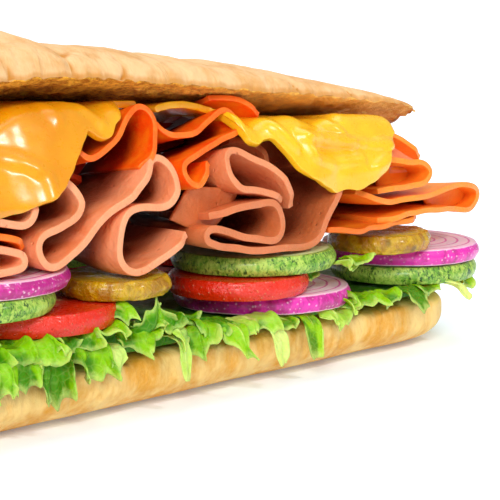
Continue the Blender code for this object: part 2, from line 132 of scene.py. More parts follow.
# Kinds of salad slice: how uneven their surface is and how crinkled their rim, in millimetres
SLICE_SURFACES = {"tomato": (0.35, 0.0), "cucumber": (0.2, 0.06), "onion": (0.25, 0.0), "pickle": (0.7, 0.12)}

# Meat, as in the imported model, and cheese with a shorter bend and a freer hanging edge
FOLD_FRONT_Y = -42.0
FOLD_BACK_Y = 40.0
FOLD_FLOOR = 39.0
FOLD_FLOOR_BACK = 39.6
FOLD_TOP = 84.5
FOLD_TOP_BACK_GAP = 4.0
FOLD_SKEW = 44.0
LEAN_START = 60.0
LEAN_RATE = 0.6
END_START = 110.0
END_DEPTH_FRONT = 6.0
END_DEPTH_BACK = 14.0
FOLD_ROWS = 22
FOLD_STEP = 1.2
BEND_STEP = 11.0
FOLD_SOFTENING = 9
FOLD_CROWDING = 1.7
HAM_RUFFLE = 0.8
PEPPERONI_RUFFLE = 0.7
# Values given to the meat sheets behind the folds: their edge, and how deep and how dim their painted shade is
SHEET_EDGE = 3.0
SHEET_DEPTH = 30.0
SHEET_DIMNESS = 0.8
CHEESE_BELOW_LID = 1.9
CHEESE_SAG = 4.5
CHEESE_SAG_START_Y = -2.0
CHEESE_HANG_START = 1.0
CHEESE_BEND = 6.0
CHEESE_TURN = math.atan(1.0 / LEAN_RATE)
CHEESE_PROUD = 1.7
CHEESE_TUCKED_Y = -25.0
CHEESE_BACK_Y = 36.0
CHEESE_COLUMNS = 84
CHEESE_ROWS = 60

# Folded meat seen from the front: name, start x and z, heading, then one row for each bend: straight run, bend
# radius and turn in degrees, positive to the left. The last run ends the slice.
HAM_FOLDS = (
    ("ham_1", (-28, 67), -10,
     ((7, 5.6, -160), (7, 4.8, 195), (6, 12, 20), (7, 10, -28), (5, 12, 22), (12.3, 4.6, -150),
      (3.9, 5.5, -75), (9, 6, 85), (5.5, 6.2, 120), (10, 20, 10), (7, 0, 0))),
    ("ham_2", (31, 51.3), 10,
     ((13, 20, -12), (5, 5.6, -186), (6, 15, -12), (8, 16, 14), (2.5, 2, 174), (20, 16, 12), (18, 7, 60),
      (17, 3.2, 110), (8, 0, 0))),
    ("ham_3", (64.5, 50.8), 114, ((6, 14, 40), (12, 5.2, 196), (10, 20, -14), (4.5, 0, 0))),
    ("ham_4", (21.6, 57.8), 0, ((7, 4, -50), (1, 0, 0))),
    ("ham_5", (53, 70.6), -12, ((5, 6, -50), (5, 0, 0))),
    ("ham_6", (-56, 60), -13, ((19, 4.2, 95), (5, 0, 0))),
    ("ham_7", (-56, 52.3), -9, ((18.8, 2.4, -171), (14.8, 0, 0))),
    ("ham_8", (95, 67.2), -8, ((10, 3, -40), (1, 0, 0))),
    ("ham_9", (-62, 46.8), 174, ((22, 3, -180), (20, 3, 180), (24, 0, 0))),
    ("ham_10", (-122, 65.2), 2, ((20, 2.6, 176), (14, 0, 0))),
    ("ham_11", (-59, 71.5), 2, ((28, 2.6, 176), (22, 0, 0))),
)
PEPPERONI_FOLDS = (
    ("pepperoni_1", (-10.6, 75.5), -130,
     ((1, 3.2, 150), (6, 20, 26), (4, 9, -46), (0, 3.9, -96), (0, 9, -46), (9, 0, 0))),
    ("pepperoni_2", (20.6, 77.6), -86,
     ((1, 3.2, 82), (1.6, 18, 26), (12.8, 3.3, -188), (24, 3.6, 205), (8, 0, 0))),
    ("pepperoni_3", (102, 52.4), 2, ((18, 7, 45), (0, 1.9, 82), (0, 7, 45), (12, 0, 0))),
    ("pepperoni_4", (92.5, 53), -24,
     ((8, 14, 27), (38.5, 9, -50), (0, 2.7, -93), (0, 9, -50), (13, 20, 12), (25, 0, 0))),
    ("pepperoni_5", (-56, 56), -11, ((18.2, 5, -45), (1, 0, 0))),
    ("pepperoni_6", (80, 42.4), -8, ((6, 20, 10), (32, 0, 0))),
    ("pepperoni_7", (-98, 51.2), 178, ((40, 3.3, 180), (36, 0, 0))),
    ("pepperoni_8", (-98, 54.4), 176, ((22, 3.4, -176), (18, 0, 0))),
    ("pepperoni_9", (-84, 64.3), 2, ((20, 3, 180), (22, 0, 0))),
    ("pepperoni_10", (-16.6, 66.9), -14, ((15.5, 0, 0),)),
)

# Small folds that show behind the cheese and at the right
SMALL_FOLDS = (
    ("pepperoni_arc", (44, 83), 2, ((5, 15, -48), (2, 0, 0))),
    ("pepperoni_end", (117, 69.5), -38, ((15, 0, 0),)),
)

# Slices whose front edge lies deeper than the others
SET_BACK = {"pepperoni_10": 14.0, "ham_4": 14.0, "ham_5": 8.0, "pepperoni_end": 4.0}

# How fast the painted shade deepens inwards on a slice, where it isn't 1
OPENNESS = {"ham_3": 0.45, "pepperoni_3": 0.35, "pepperoni_4": 0.35, "pepperoni_6": 0.5, "ham_6": 0.6, "ham_7": 0.6}

# How far a slice has the browner tone of meat in the shade
DIMMED = {"ham_2": 0.7, "ham_3": 0.4, "ham_4": 0.8, "ham_5": 0.8, "pepperoni_10": 0.8, "pepperoni_6": 0.2}

# Cheese slices: name, left and right x, the drop of the hanging edge and the sag of the bend over the lid's face,
# both as x and millimetres, then ridges from x and z to x and z with their height and half width
CHEESES = (
    ("cheese_1", -92, 17,
     ((-86, 0), (-78, 12), (-68, 18), (-56, 19.5), (-40, 19.5), (-33, 21.5), (-28.5, 22.5), (-24, 20.5),
      (-19.5, 16.5), (-15.5, 12), (-10.5, 6.5), (-9, 3.5), (-7, 5), (-4, 5.5), (-1, 5), (1.5, 2),
      (3.5, 1), (8, 0)),
     ((-90, 4.5), (-60, 8), (-45, 10), (-38.5, 9.5), (-33, 7), (-29.5, 5.5), (-24, 5), (-11, 4.5),
      (-7.5, 5), (-4.5, 6), (-0.5, 5.5), (3, 4.5), (7, 3.5), (17, 3)),
     ((-52, 73, -43, 72.5, 1, 2), (-43, 72.5, -38, 72, 1, 2), (-38, 72, -33, 70.5, 1, 2),
      (-33, 70.5, -29.5, 68.5, 1.5, 1.5), (-29.5, 68.5, -27.5, 66.5, 1, 1.5),
      (-27.5, 66.5, -28, 62, 1, 1.5), (-46, 66, -34, 63, -1, 4), (-19, 84, -17.5, 80, 1, 1.5),
      (-13.5, 85, -9, 79, -1.5, 1.5), (-9, 85.5, -3, 78, 1, 1.5), (-62, 70, -58, 82, 1, 3),
      (-76, 72, -70, 84, -1, 3))),
    ("cheese_2", 24, 116,
     ((46.5, 0), (48, 4.5), (51.5, 3), (56, 1.5), (59, 2), (61.5, 7), (65, 13), (69, 16), (72.5, 17.5),
      (82.5, 17.5), (89, 20), (93.5, 18.5), (99, 15), (104.5, 8), (109, 2.5), (112, 0)),
     ((24, 4.5), (26, 3.5), (30, 2.5), (35, 2), (40, 2.5), (45, 3.5), (48.5, 5.5), (50.5, 7.5),
      (53.5, 8.5), (58, 7), (63, 6), (71.5, 5), (75, 6), (80, 7.5), (86.5, 5), (91, 3.5), (107.5, 3.5),
      (115.5, 4.5)),
     ((70, 70.5, 89.5, 67.5, 3.5, 1.5), (89.5, 67.5, 104.5, 66, 2.5, 1.5),
      (70, 70.5, 71.5, 65, 2.5, 1.5), (71.5, 65, 79, 62.5, 2, 1.5), (74, 67, 94, 64.5, -2, 2),
      (79, 62.5, 90, 63, 1.5, 1.5), (84, 75.5, 98, 70.5, -3.5, 3), (81, 75.5, 87, 70.5, 2, 1.5),
      (58, 77, 65, 68, 2, 1.5), (95, 60, 104, 63, 1.5, 1.5))),
    ("cheese_3", -142, -97, ((-140, 0), (-132, 6), (-119, 10), (-106, 6), (-98, 0)),
     ((-120, 4.5), (-97, 4.5)), ((-128, 72, -116, 66, 1, 2.5),)),
)

# Meat behind the folds, seen in the shade between them and painted with the dark tone of meat in shade: its kind, how
# deep it lies as a share of the way to the back, and the outline that it fills, as x and z in the plane of the fronts
DEEP_MEAT = (
    ("pepperoni", 0.3, ((-9, 84), (-9, 73.5), (-7, 71.5), (8.5, 82), (7, 84))),
    ("pepperoni", 0.36, ((12.5, 81), (16, 79), (14.5, 76), (5.5, 69), (0.5, 65), (-4, 70))),
    ("pepperoni", 0.32, ((22, 83), (22.5, 77.5), (24.5, 75.5), (29, 75.5), (44, 81.5))),
    ("pepperoni", 0.36, ((23, 72), (29, 72.5), (45, 78), (48, 77), (47, 75), (25, 69.5))),
    ("pepperoni", 0.34, ((23, 63), (24.5, 62), (26, 62), (31.5, 66.5), (30.5, 68.5), (24.5, 66))),
    ("pepperoni", 0.3, ((18.5, 83), (19.5, 78.5), (18, 75), (11.5, 71), (16, 70.5), (19.5, 68.5))),
    ("pepperoni", 0.24, ((-13, 83), (-24, 80), (-24, 71), (-16, 69), (-8, 67), (-13.5, 71))),
    ("pepperoni", 0.1,
     ((130, 49), (138, 50), (146, 50.5), (151, 49.5), (154, 46), (151, 43), (143, 42.5), (132, 45))),
    ("pepperoni", 0.12, ((110, 53), (122, 53), (126.5, 55.5), (126, 58), (119, 59.5), (110, 58.5))),
    ("ham", 0.09, ((27, 60.5), (47, 58.5), (44, 53.5), (40, 50), (34, 45.5), (20, 51.5))),
    ("ham", 0.12, ((115.5, 67.5), (119.5, 68), (130, 59.5), (126, 57), (115.5, 57.5))),
    ("ham", 0.2, ((51, 72), (43, 71), (46, 70), (56, 65), (62, 59), (62.5, 62.5), (59, 67.5))),
    ("ham", 0.22, ((52.5, 78), (52.5, 73), (60.5, 70.5), (66, 61), (72.5, 63), (90, 66), (90, 76))),
    ("ham", 0.4, ((42, 67.5), (39.5, 65.5), (39.5, 62), (42.5, 60.5), (51, 58.5), (58, 57), (54, 62.5))),
    ("ham", 0.4, ((33, 50), (44, 52), (53, 52), (57, 50), (56.5, 46), (53.5, 44), (49.5, 44.5))),
    ("ham", 0.3,
     ((66, 50.5), (61.5, 45), (62, 41.5), (70, 41.5), (73, 44), (83, 58.5), (81, 61.5), (74, 62.5),
      (66.5, 58))),
    ("ham", 0.38, ((-27, 65), (-20.5, 63.5), (-18.5, 60.5), (-20, 57), (-30.5, 54.5))),
    ("ham", 0.36,
     ((-28, 53), (-30, 49.5), (-28.5, 46.5), (-25, 46), (-18.5, 49), (-11.5, 55.5), (-17, 55.5))),
    ("ham", 0.36, ((-1.5, 55), (-3, 46), (-1, 42), (1.5, 41), (6, 42), (20, 49), (17, 54.5))),
    ("ham", 0.38, ((13, 67.5), (8, 65), (1.5, 59), (11, 57.5), (15, 58), (17.5, 62), (17, 66))),
    ("ham", 0.3, ((20, 62), (20, 59), (30.5, 59), (44, 56.5), (36, 62), (35.5, 66))),
)

# Stage: where each light comes from and how wide it is, and the camera's place in metres and turn in degrees
FLOOR_REACH = 30.0
MAIN_LIGHT = ((-0.78, -0.66, 0.55), 22.0)
GLINT_LIGHT = ((0.2, -0.66, 0.73), 6.0)
TOP_LIGHT = ((0.05, 0.3, 1.0), 70.0)
CAMERA_PLACE = (-0.3152, -0.3941, 0.1182)
CAMERA_TURN = (81.25, 0.0, -45.6)


def clamp(value, low=0.0, high=1.0):
    return min(max(value, low), high)


def smooth_step(value, low, high):
    share = clamp((value - low) / (high - low))
    return share * share * (3.0 - 2.0 * share)


def signed_power(value, power):
    return math.copysign(abs(value) ** power, value)


def grain(x, y, z, pitch):
    """Smooth noise from -1 to 1, with features about as wide as the pitch."""
    return noise.noise((x / pitch, y / pitch, z / pitch))


def between(pairs, x):
    """The value at x between pairs of x and value, eased at each of them."""
    if x <= pairs[0][0]:
        return pairs[0][1]
    for (ax, a), (bx, b) in zip(pairs, pairs[1:]):
        if x <= bx:
            share = (x - ax) / (bx - ax)
            return a + (b - a) * (0.5 * share + 0.5 * smooth_step(share, 0.0, 1.0))
    return pairs[-1][1]


def screen(red, green, blue):
    """A colour as a screen shows it, from 0 to 255, in the linear values that Blender's colours take."""
    return tuple(((c / 255.0 + 0.055) / 1.055) ** 2.4 if c > 10 else c / 3294.6 for c in (red, green, blue))


def tint(name, words, *value):
    """A colour setting."""
    return FloatVectorProperty(
        name=name, description=words, subtype="COLOR", size=3, min=0.0, max=1.0, default=screen(*value))


def size(name, words, millimetres):
    """A length setting."""
    return FloatProperty(
        name=name, description=words, subtype="DISTANCE", unit="LENGTH", min=0.0, default=millimetres * MM)


class BreadLooks(bpy.types.PropertyGroup):
    """Colours and relief of the two halves of the loaf."""

    crust_pale: tint("Pale crust", "Lightest parts of the upper crust", 234, 190, 136)
    crust_warm: tint("Warm crust", "Golden patches of the upper crust", 216, 160, 94)
    # Painted shade in the clefts of the crust and near the floor, and the darker band along the crust's edge by the
    # cut face
    crust_crease: tint("Creases", "Inside the clefts of the crust", 200, 130, 40)
    base_pale: tint("Pale lower crust", "Lightest parts of the lower crust", 246, 206, 128)
    base_warm: tint("Golden lower crust", "Patches of the lower crust", 224, 156, 46)
    crumb_light: tint("Light crumb", "Raised parts of the cut face", 246, 178, 52)
    crumb_right: tint("Bright crumb", "Cut face where it opens to the light", 252, 196, 104)
    crumb_dark: tint("Dark crumb", "Pores of the cut face", 178, 104, 12)
    lump: size("Lumps", "Height of the soft lumps in the crust", 1.1)
    pore: size("Pores", "Depth of the pores in the cut face", 0.9)


class SaladLooks(bpy.types.PropertyGroup):
    """Colours and relief of the salad."""

    leaf: tint("Leaf", "Bright parts of the lettuce", 136, 194, 0)
    leaf_dark: tint("Dark leaf", "Shaded and older parts of the lettuce", 62, 132, 0)
    leaf_pale: tint("Pale leaf", "Ribs and the pale base of the lettuce", 222, 236, 132)
    tomato: tint("Tomato", "Skin and wall of the tomato", 224, 38, 2)
    tomato_wet: tint("Tomato specks", "Pale specks in the cut tomato", 255, 160, 110)
    cucumber_light: tint("Light cucumber", "Light streaks of the cucumber's skin", 178, 208, 86)
    cucumber: tint("Cucumber", "Main green of the cucumber's skin", 104, 160, 34)
    cucumber_dark: tint("Dark cucumber", "Dark dots of the cucumber's skin", 36, 86, 14)
    cucumber_flesh: tint("Cucumber flesh", "Cut face of the cucumber", 216, 232, 160)
    onion: tint("Onion", "Purple rings of the onion", 226, 44, 170)
    onion_dark: tint("Dark onion", "Deep purple of the onion", 178, 22, 122)
    onion_pale: tint("Pale onion", "Pale flesh of the onion", 252, 212, 228)
    pickle: tint("Pickle", "Main colour of the pickled gherkin", 208, 166, 0)
    pickle_dark: tint("Dark pickle", "Skin and warts of the gherkin", 168, 116, 0)
    leaf_thickness: size("Leaf thickness", "Thickness of a lettuce leaf", 0.35)


class MeatLooks(bpy.types.PropertyGroup):
    """Colours and thickness of the folded meat and the cheese."""

    ham: tint("Ham", "Broad faces of the ham", 250, 160, 112)
    ham_deep: tint("Deep ham", "Darker mottling of the ham", 236, 132, 76)
    ham_dim: tint("Ham in the shade", "Ham of the slices that lie in the shade", 196, 100, 46)
    # painted shade: ham deep in the folds, where little light reaches
    ham_inside: tint("Ham inside", "Ham deep inside the folds", 124, 46, 20)
    ham_edge: tint("Ham edge", "Cut edges of the ham", 242, 164, 120)
    pepperoni: tint("Pepperoni", "Main colour of the pepperoni", 255, 136, 14)
    pepperoni_deep: tint("Deep pepperoni", "Dark mottling of the pepperoni", 250, 78, 0)
    pepperoni_light: tint("Light pepperoni", "Light fat of the pepperoni", 255, 166, 50)
    # painted shade: pepperoni deep in the folds, and pepperoni slices that lie in the shade
    pepperoni_inside: tint("Pepperoni inside", "Pepperoni deep inside the folds", 158, 6, 0)
    pepperoni_edge: tint("Pepperoni edge", "Fine pale rim of the pepperoni", 255, 134, 44)
    cheese: tint("Cheese", "Main colour of the cheese", 252, 190, 26)
    # partly painted shade: a deeper tone of the cheese in broad patches at random, and painted shade towards the left
    cheese_deep: tint("Deep cheese", "Thicker and shaded parts of the cheese", 222, 140, 0)
    ham_thickness: size("Ham thickness", "Thickness of a ham slice", 2.0)
    pepperoni_thickness: size("Pepperoni thickness", "Thickness of a pepperoni slice", 1.7)
    cheese_thickness: size("Cheese thickness", "Thickness of a cheese slice", 2.0)


class StageLooks(bpy.types.PropertyGroup):
    """Floor, lights and camera."""

    floor: tint("Floor", "Colour of the plain floor", 238, 246, 255)
    floor_glow: FloatProperty(name="Floor glow", description="How much the floor lights itself", default=0.18)
    surround: FloatProperty(name="Surround", description="Strength of the even light all round", default=0.36)
    key: FloatProperty(name="Main light", description="Strength of the main light", default=2.0)
    glint: FloatProperty(name="Glint", description="Strength of the small light for wet shines", default=0.7)
    top: FloatProperty(name="Top light", description="Strength of the light from above", default=1.7)
    lens: FloatProperty(name="Lens", description="Focal length in millimetres", default=129.6)


class Value:
    """A socket of a material; sums and products of it add the Math nodes that work them out."""

    def __init__(self, tree, socket):
        self.tree = tree
        self.socket = socket

    def math(self, operation, *terms):
        return self.tree.node("ShaderNodeMath", {"operation": operation}, dict(enumerate(terms)))

    def __add__(self, other):
        return self.math("ADD", self, other)

    def __sub__(self, other):
        return self.math("SUBTRACT", self, other)

    def __mul__(self, other):
        return self.math("MULTIPLY", self, other)

    def __rsub__(self, other):
        return self.math("SUBTRACT", other, self)

    __radd__ = __add__
    __rmul__ = __mul__


class Finish:
    """A material under construction, round one Principled shader."""

    def __init__(self, name, **constants):
        self.material = bpy.data.materials.new(name)
        self.material.use_nodes = True
        self.nodes = self.material.node_tree.nodes
        self.links = self.material.node_tree.links
        self.shader = self.nodes["Principled BSDF"]
        self.place = self.node("ShaderNodeTexCoord", {}, {}, "Object")
        for key, value in constants.items():
            self.feed(self.shader.inputs[key.replace("_", " ")], value)

    def feed(self, socket, value):
        if isinstance(value, Value):
            self.links.new(value.socket, socket)
        elif socket.type == "RGBA":
            socket.default_value = (*value, 1.0)
        else:
            socket.default_value = value

    def node(self, kind, settings, sockets, output=0):
        """Adds a node: its settings first, then the values or links of its sockets."""
        made = self.nodes.new(kind)
        for key, value in settings.items():
            setattr(made, key, value)
        for key, value in sockets.items():
            self.feed(made.inputs[key], value)
        return Value(self, made.outputs[output])

    def attribute(self, name):
        return self.node("ShaderNodeAttribute", {"attribute_name": name}, {}, "Fac")

    def stretched(self, across, along, up):
        """Object coordinates with a pattern made longer along each axis by these factors."""
        sockets = {"Vector": self.place, "Scale": (1.0 / across, 1.0 / along, 1.0 / up)}
        return self.node("ShaderNodeMapping", {}, sockets)

    def cloud(self, pitch, detail=2.0, rough=0.5, place=None, twist=0.0):
        """Noise from 0 to 1, with features about as wide as the pitch in millimetres."""
        sockets = {"Vector": place or self.place, "Scale": 1.0 / (pitch * MM), "Detail": detail,
                   "Roughness": rough, "Distortion": twist}
        return self.node("ShaderNodeTexNoise", {}, sockets)

    def cells(self, pitch, place=None, feature="F1"):
        """Distance to the nearest of many scattered points."""
        sockets = {"Vector": place or self.place, "Scale": 1.0 / (pitch * MM)}
        return self.node("ShaderNodeTexVoronoi", {"feature": feature}, sockets)

    def rightwards(self, low, high):
        """0 left of low and 1 right of high, in millimetres along the loaf."""
        return self.fade(self.node("ShaderNodeSeparateXYZ", {}, {0: self.place}), low * MM, high * MM)

    def sine(self, value):
        return self.node("ShaderNodeMath", {"operation": "SINE"}, {0: value})

    def fade(self, value, low, high):
        """0 below low, 1 above high and smooth between."""
        sockets = {"Value": value, "From Min": low, "From Max": high}
        return self.node("ShaderNodeMapRange", {"interpolation_type": "SMOOTHSTEP"}, sockets)

    def mix(self, share, first, second):
        """A colour between two others."""
        settings = {"data_type": "RGBA"}
        return self.node("ShaderNodeMix", settings, {0: share, 6: first, 7: second}, 2)

    def colour(self, value):
        self.feed(self.shader.inputs["Base Color"], value)

    def rough(self, value):
        self.feed(self.shader.inputs["Roughness"], value)

    def relief(self, height, depth):
        """Bump of this height, where 1 is as deep as depth in millimetres."""
        sockets = {"Height": height, "Strength": 1.0, "Distance": depth * MM}
        self.feed(self.shader.inputs["Normal"], self.node("ShaderNodeBump", {}, sockets))


def crust_finish(name, pale, warm, look):
    """Baked crust, with porous crumb where the loaf is cut."""
    made = Finish(name, Subsurface_Weight=0.08, Subsurface_Scale=0.003, Specular_IOR_Level=0.3)
    patches = made.cloud(14.0, 4.0, 0.6, made.stretched(0.8, 1.0, 1.4), 0.35)
    flour = made.cloud(1.1, 4.0, 0.65)
    streak = made.cloud(4.0, 3.0, 0.6, made.stretched(1.0, 1.0, 3.0))
    rise = made.attribute("rise")
    crease = made.attribute("crease")
    crust = made.mix(made.fade(patches + 0.35 * streak, 0.55, 0.85), pale, warm)
    crust = made.mix(made.fade(flour, 0.35, 0.75) * 0.25, crust, pale)
    # painted shade: darker in the clefts of the upper crust, and near the floor on the lower crust
    crust = made.mix(made.fade(crease + 0.25 * streak, 0.35, 1.0), crust, look.crust_crease)
    scorch = made.fade(2.2 - rise + 2.4 * streak, 1.2, 2.6)
    crust = made.mix(scorch * 0.6, crust, look.crust_crease)
    pores = made.cloud(2.6, 5.0, 0.7)
    # painted shade: the crumb is darker in its pores, where the relief dips
    crumb = made.mix(made.fade(pores, 0.36, 0.62), look.crumb_dark, look.crumb_light)
    crumb = made.mix(made.rightwards(0.0, 120.0) * 0.8, crumb, look.crumb_right)
    cut = made.fade(1.6 * streak - rise - 0.8, -0.3, 0.3)
    made.colour(made.mix(cut, crust, crumb))
    made.rough(0.62 + 0.3 * cut - 0.1 * flour)
    wrinkles = made.cloud(9.0, 3.0, 0.5, made.stretched(0.7, 1.0, 1.6), 0.6)
    made.relief((1.0 - cut) * (0.25 * flour + 0.3 * streak + 2.2 * wrinkles) + 2.2 * cut * pores, 0.55)
    return made.material


def lettuce_finish(look):
    """Thin leaf with ribs, painted shade in its hollows, edges painted pale as light shines through them, and a pale
    base.
    """
    made = Finish("lettuce", Subsurface_Weight=0.25, Subsurface_Scale=0.004, Specular_IOR_Level=0.2)
    tip = made.attribute("tip")
    pale = made.attribute("pale")
    across = made.attribute("across")
    hollow = made.attribute("hollow")
    blotch = made.cloud(8.0, 3.0, 0.6, twist=0.8)
    fine = made.cloud(1.6, 3.0, 0.6)
    veins = made.cells(2.4, feature="DISTANCE_TO_EDGE")
    # painted shade: the leaf is darker in the hollows of its ruffles, and in blotches at random
    dark = made.fade(blotch + 0.55 * hollow - 0.5 * pale, 0.43, 0.84)
    leaf = made.mix(dark, look.leaf, look.leaf_dark)
    leaf = made.mix(0.07 - 0.07 * made.fade(veins, 0.0, 0.14), leaf, look.leaf_pale)
    # painted light: the leaf's tips turn pale, as light catches and shines through their thin edges
    leaf = made.mix(made.fade(tip + 0.2 * fine, 0.93, 1.08) * 0.45, leaf, look.leaf_pale)
    rib = (1.0 - made.fade(across, 0.0, 0.12)) * (1.0 - made.fade(tip, 0.4, 0.9))
    leaf = made.mix(made.fade(pale + 0.4 * rib - 0.3 * tip + 0.3 * fine, 0.2, 0.95), leaf, look.leaf_pale)
    made.colour(leaf)
    made.rough(0.3 + 0.25 * fine)
    made.relief(0.3 * made.fade(veins, 0.0, 0.25) + 0.5 * fine + 1.2 * blotch, 0.3)
    return made.material


def tomato_finish(look):
    """Glossy skin round wet flesh, with pale specks that are partly its texture and partly painted glints."""
    made = Finish("tomato", Subsurface_Weight=0.06, Subsurface_Scale=0.003, Coat_Weight=0.2, Coat_Roughness=0.1)
    inner = made.attribute("inner")
    wet = made.cells(1.2)
    fine = made.cloud(1.4, 4.0, 0.6)
    broad = made.cloud(9.0, 2.0)
    flesh = made.mix(made.fade(broad, 0.4, 0.7) * 0.6, look.tomato, screen(214, 26, 14))
    # partly painted highlight: pale specks stand for small glints on the wet flesh, as well as its speckled texture
    speckled = (1.0 - made.fade(wet, 0.1, 0.3)) * made.fade(fine, 0.42, 0.58)
    flesh = made.mix(speckled * 0.8, flesh, look.tomato_wet)
    seeds = made.cells(6.0, made.stretched(1.0, 1.0, 4.0))
    pulp = made.mix(1.0 - made.fade(seeds, 0.2, 0.35), screen(226, 74, 26), screen(244, 190, 96))
    wall = made.fade(inner + 0.1 * fine, 0.5, 0.66) * made.fade(made.cloud(13.0, 1.0), 0.42, 0.5)
    made.colour(made.mix(wall, flesh, pulp))
    made.rough(0.18 + 0.22 * fine)
    made.relief(fine - 0.5 * made.fade(wet, 0.0, 0.3), 0.6)
    return made.material


def cucumber_finish(look):
    """Mottled green skin round pale flesh with seeds."""
    made = Finish("cucumber", Subsurface_Weight=0.12, Subsurface_Scale=0.003, Coat_Weight=0.2, Coat_Roughness=0.15)
    inner = made.attribute("inner")
    streak = made.cloud(1.5, 4.0, 0.72, made.stretched(1.0, 1.0, 1.5), 0.5)
    broad = made.cloud(7.0, 2.0)
    dots = made.cloud(1.0, 3.0, 0.7, made.stretched(1.0, 1.0, 1.6), 0.3)
    skin = made.mix(made.fade(streak + 0.25 * broad, 0.5, 0.74), look.cucumber, look.cucumber_light)
    skin = made.mix(1.0 - made.fade(dots + 0.2 * broad, 0.44, 0.6), skin, look.cucumber_dark)
    seeds = made.cells(3.4, made.stretched(1.0, 1.0, 4.0))
    seeded = (1.0 - made.fade(seeds, 0.25, 0.4)) * made.fade(inner, 0.35, 0.5)
    flesh = made.mix(seeded, look.cucumber_flesh, screen(236, 240, 196))
    flesh = made.mix(made.fade(inner, 0.3, 0.5) * 0.5, flesh, screen(192, 214, 120))
    made.colour(made.mix(made.fade(inner + 0.03 * streak, 0.05, 0.09), skin, flesh))
    made.rough(0.3 + 0.25 * streak)
    made.relief(streak, 0.4)
    return made.material


def onion_finish(look):
    """Purple skin and pale rings."""
    made = Finish("onion", Subsurface_Weight=0.25, Subsurface_Scale=0.004, Coat_Weight=0.3, Coat_Roughness=0.1)
    inner = made.attribute("inner")
    level = made.attribute("level")
    radial = made.attribute("radial")
    fine = made.cloud(1.3, 4.0, 0.65)
    streak = made.cloud(3.0, 3.0, 0.6, made.stretched(1.0, 1.0, 2.6), 0.4)
    specks = made.cells(1.3)
    # partly painted shade: the onion's side turns deeper purple towards the left, on top of its streaks at random
    shade = made.fade(streak - 0.15 * made.rightwards(-60.0, 140.0), 0.3, 0.55)
    side = made.mix(shade, look.onion, look.onion_dark)
    speckled = (1.0 - made.fade(specks, 0.12, 0.36)) * made.fade(fine, 0.4, 0.58)
    side = made.mix(speckled * 0.65, side, look.onion_pale)
    rings = made.sine(44.0 * radial + 1.5 * streak)
    flesh = made.mix(made.fade(rings, 0.7, 1.0), look.onion_pale, look.onion)
    rim = made.fade(level + 0.15 * fine, 0.86, 1.0)
    side = made.mix(rim * 0.8, side, look.onion_pale)
    made.colour(made.mix(made.fade(inner, 0.02, 0.05), side, flesh))
    made.rough(0.2 + 0.25 * fine)
    made.relief(fine + 0.5 * streak, 0.3)
    return made.material


def pickle_finish(look):
    """Wet olive-yellow gherkin with dark warts."""
    made = Finish("pickle", Subsurface_Weight=0.12, Subsurface_Scale=0.005, Coat_Weight=0.3, Coat_Roughness=0.12)
    inner = made.attribute("inner")
    fine = made.cloud(1.5, 4.0, 0.6)
    streak = made.cloud(4.5, 3.0, 0.6, made.stretched(1.0, 1.0, 1.6), 0.4)
    warts = made.cells(6.5)
    skin = made.mix(made.fade(streak, 0.38, 0.66), look.pickle_dark, look.pickle)
    skin = made.mix((1.0 - made.fade(warts, 0.12, 0.3)) * 0.75, skin, screen(110, 84, 0))
    seeds = made.cells(3.0, made.stretched(1.0, 1.0, 4.0))
    seeded = (1.0 - made.fade(seeds, 0.2, 0.35)) * made.fade(inner, 0.4, 0.55)
    flesh = made.mix(seeded, screen(214, 190, 40), screen(236, 220, 130))
    made.colour(made.mix(made.fade(inner, 0.04, 0.09), skin, flesh))
    made.rough(0.12 + 0.25 * fine)
    made.relief(fine + 0.6 * streak, 1.0)
    return made.material


def ham_finish(look):
    """Moist pink meat, lighter on its cut edge, with small pits."""
    made = Finish("ham", Subsurface_Weight=0.15, Subsurface_Scale=0.003, Specular_IOR_Level=0.35)
    edge = made.attribute("edge")
    blotch = made.cloud(11.0, 3.0, 0.6, twist=0.5)
    fine = made.cloud(1.6, 4.0, 0.65)
    pits = made.cells(4.2)
    meat = made.mix(made.fade(blotch, 0.36, 0.7), look.ham, look.ham_deep)
    meat = made.mix(made.fade(fine, 0.35, 0.75) * 0.25, meat, look.ham_edge)
    # painted shade: the ham is darker in its small pits, where the relief dips
    meat = made.mix((1.0 - made.fade(pits, 0.04, 0.12)) * 0.5, meat, look.ham_deep)
    meat = made.mix(0.6 - 0.6 * made.fade(edge + fine, 0.35, 1.5), meat, look.ham_edge)
    meat = made.mix(made.attribute("dim"), meat, look.ham_dim)
    inside = made.attribute("inside")
    # painted shade: the ham darkens inwards from the fronts and backs of its folds
    meat = made.mix(made.fade(inside + 2.0 * blotch, 4.0, 15.0) * 0.85, meat, look.ham_inside)
    made.colour(meat)
    made.rough(0.36 + 0.22 * fine)
    made.relief(fine + 2.0 * blotch + made.fade(pits, 0.0, 0.14), 0.4)
    return made.material


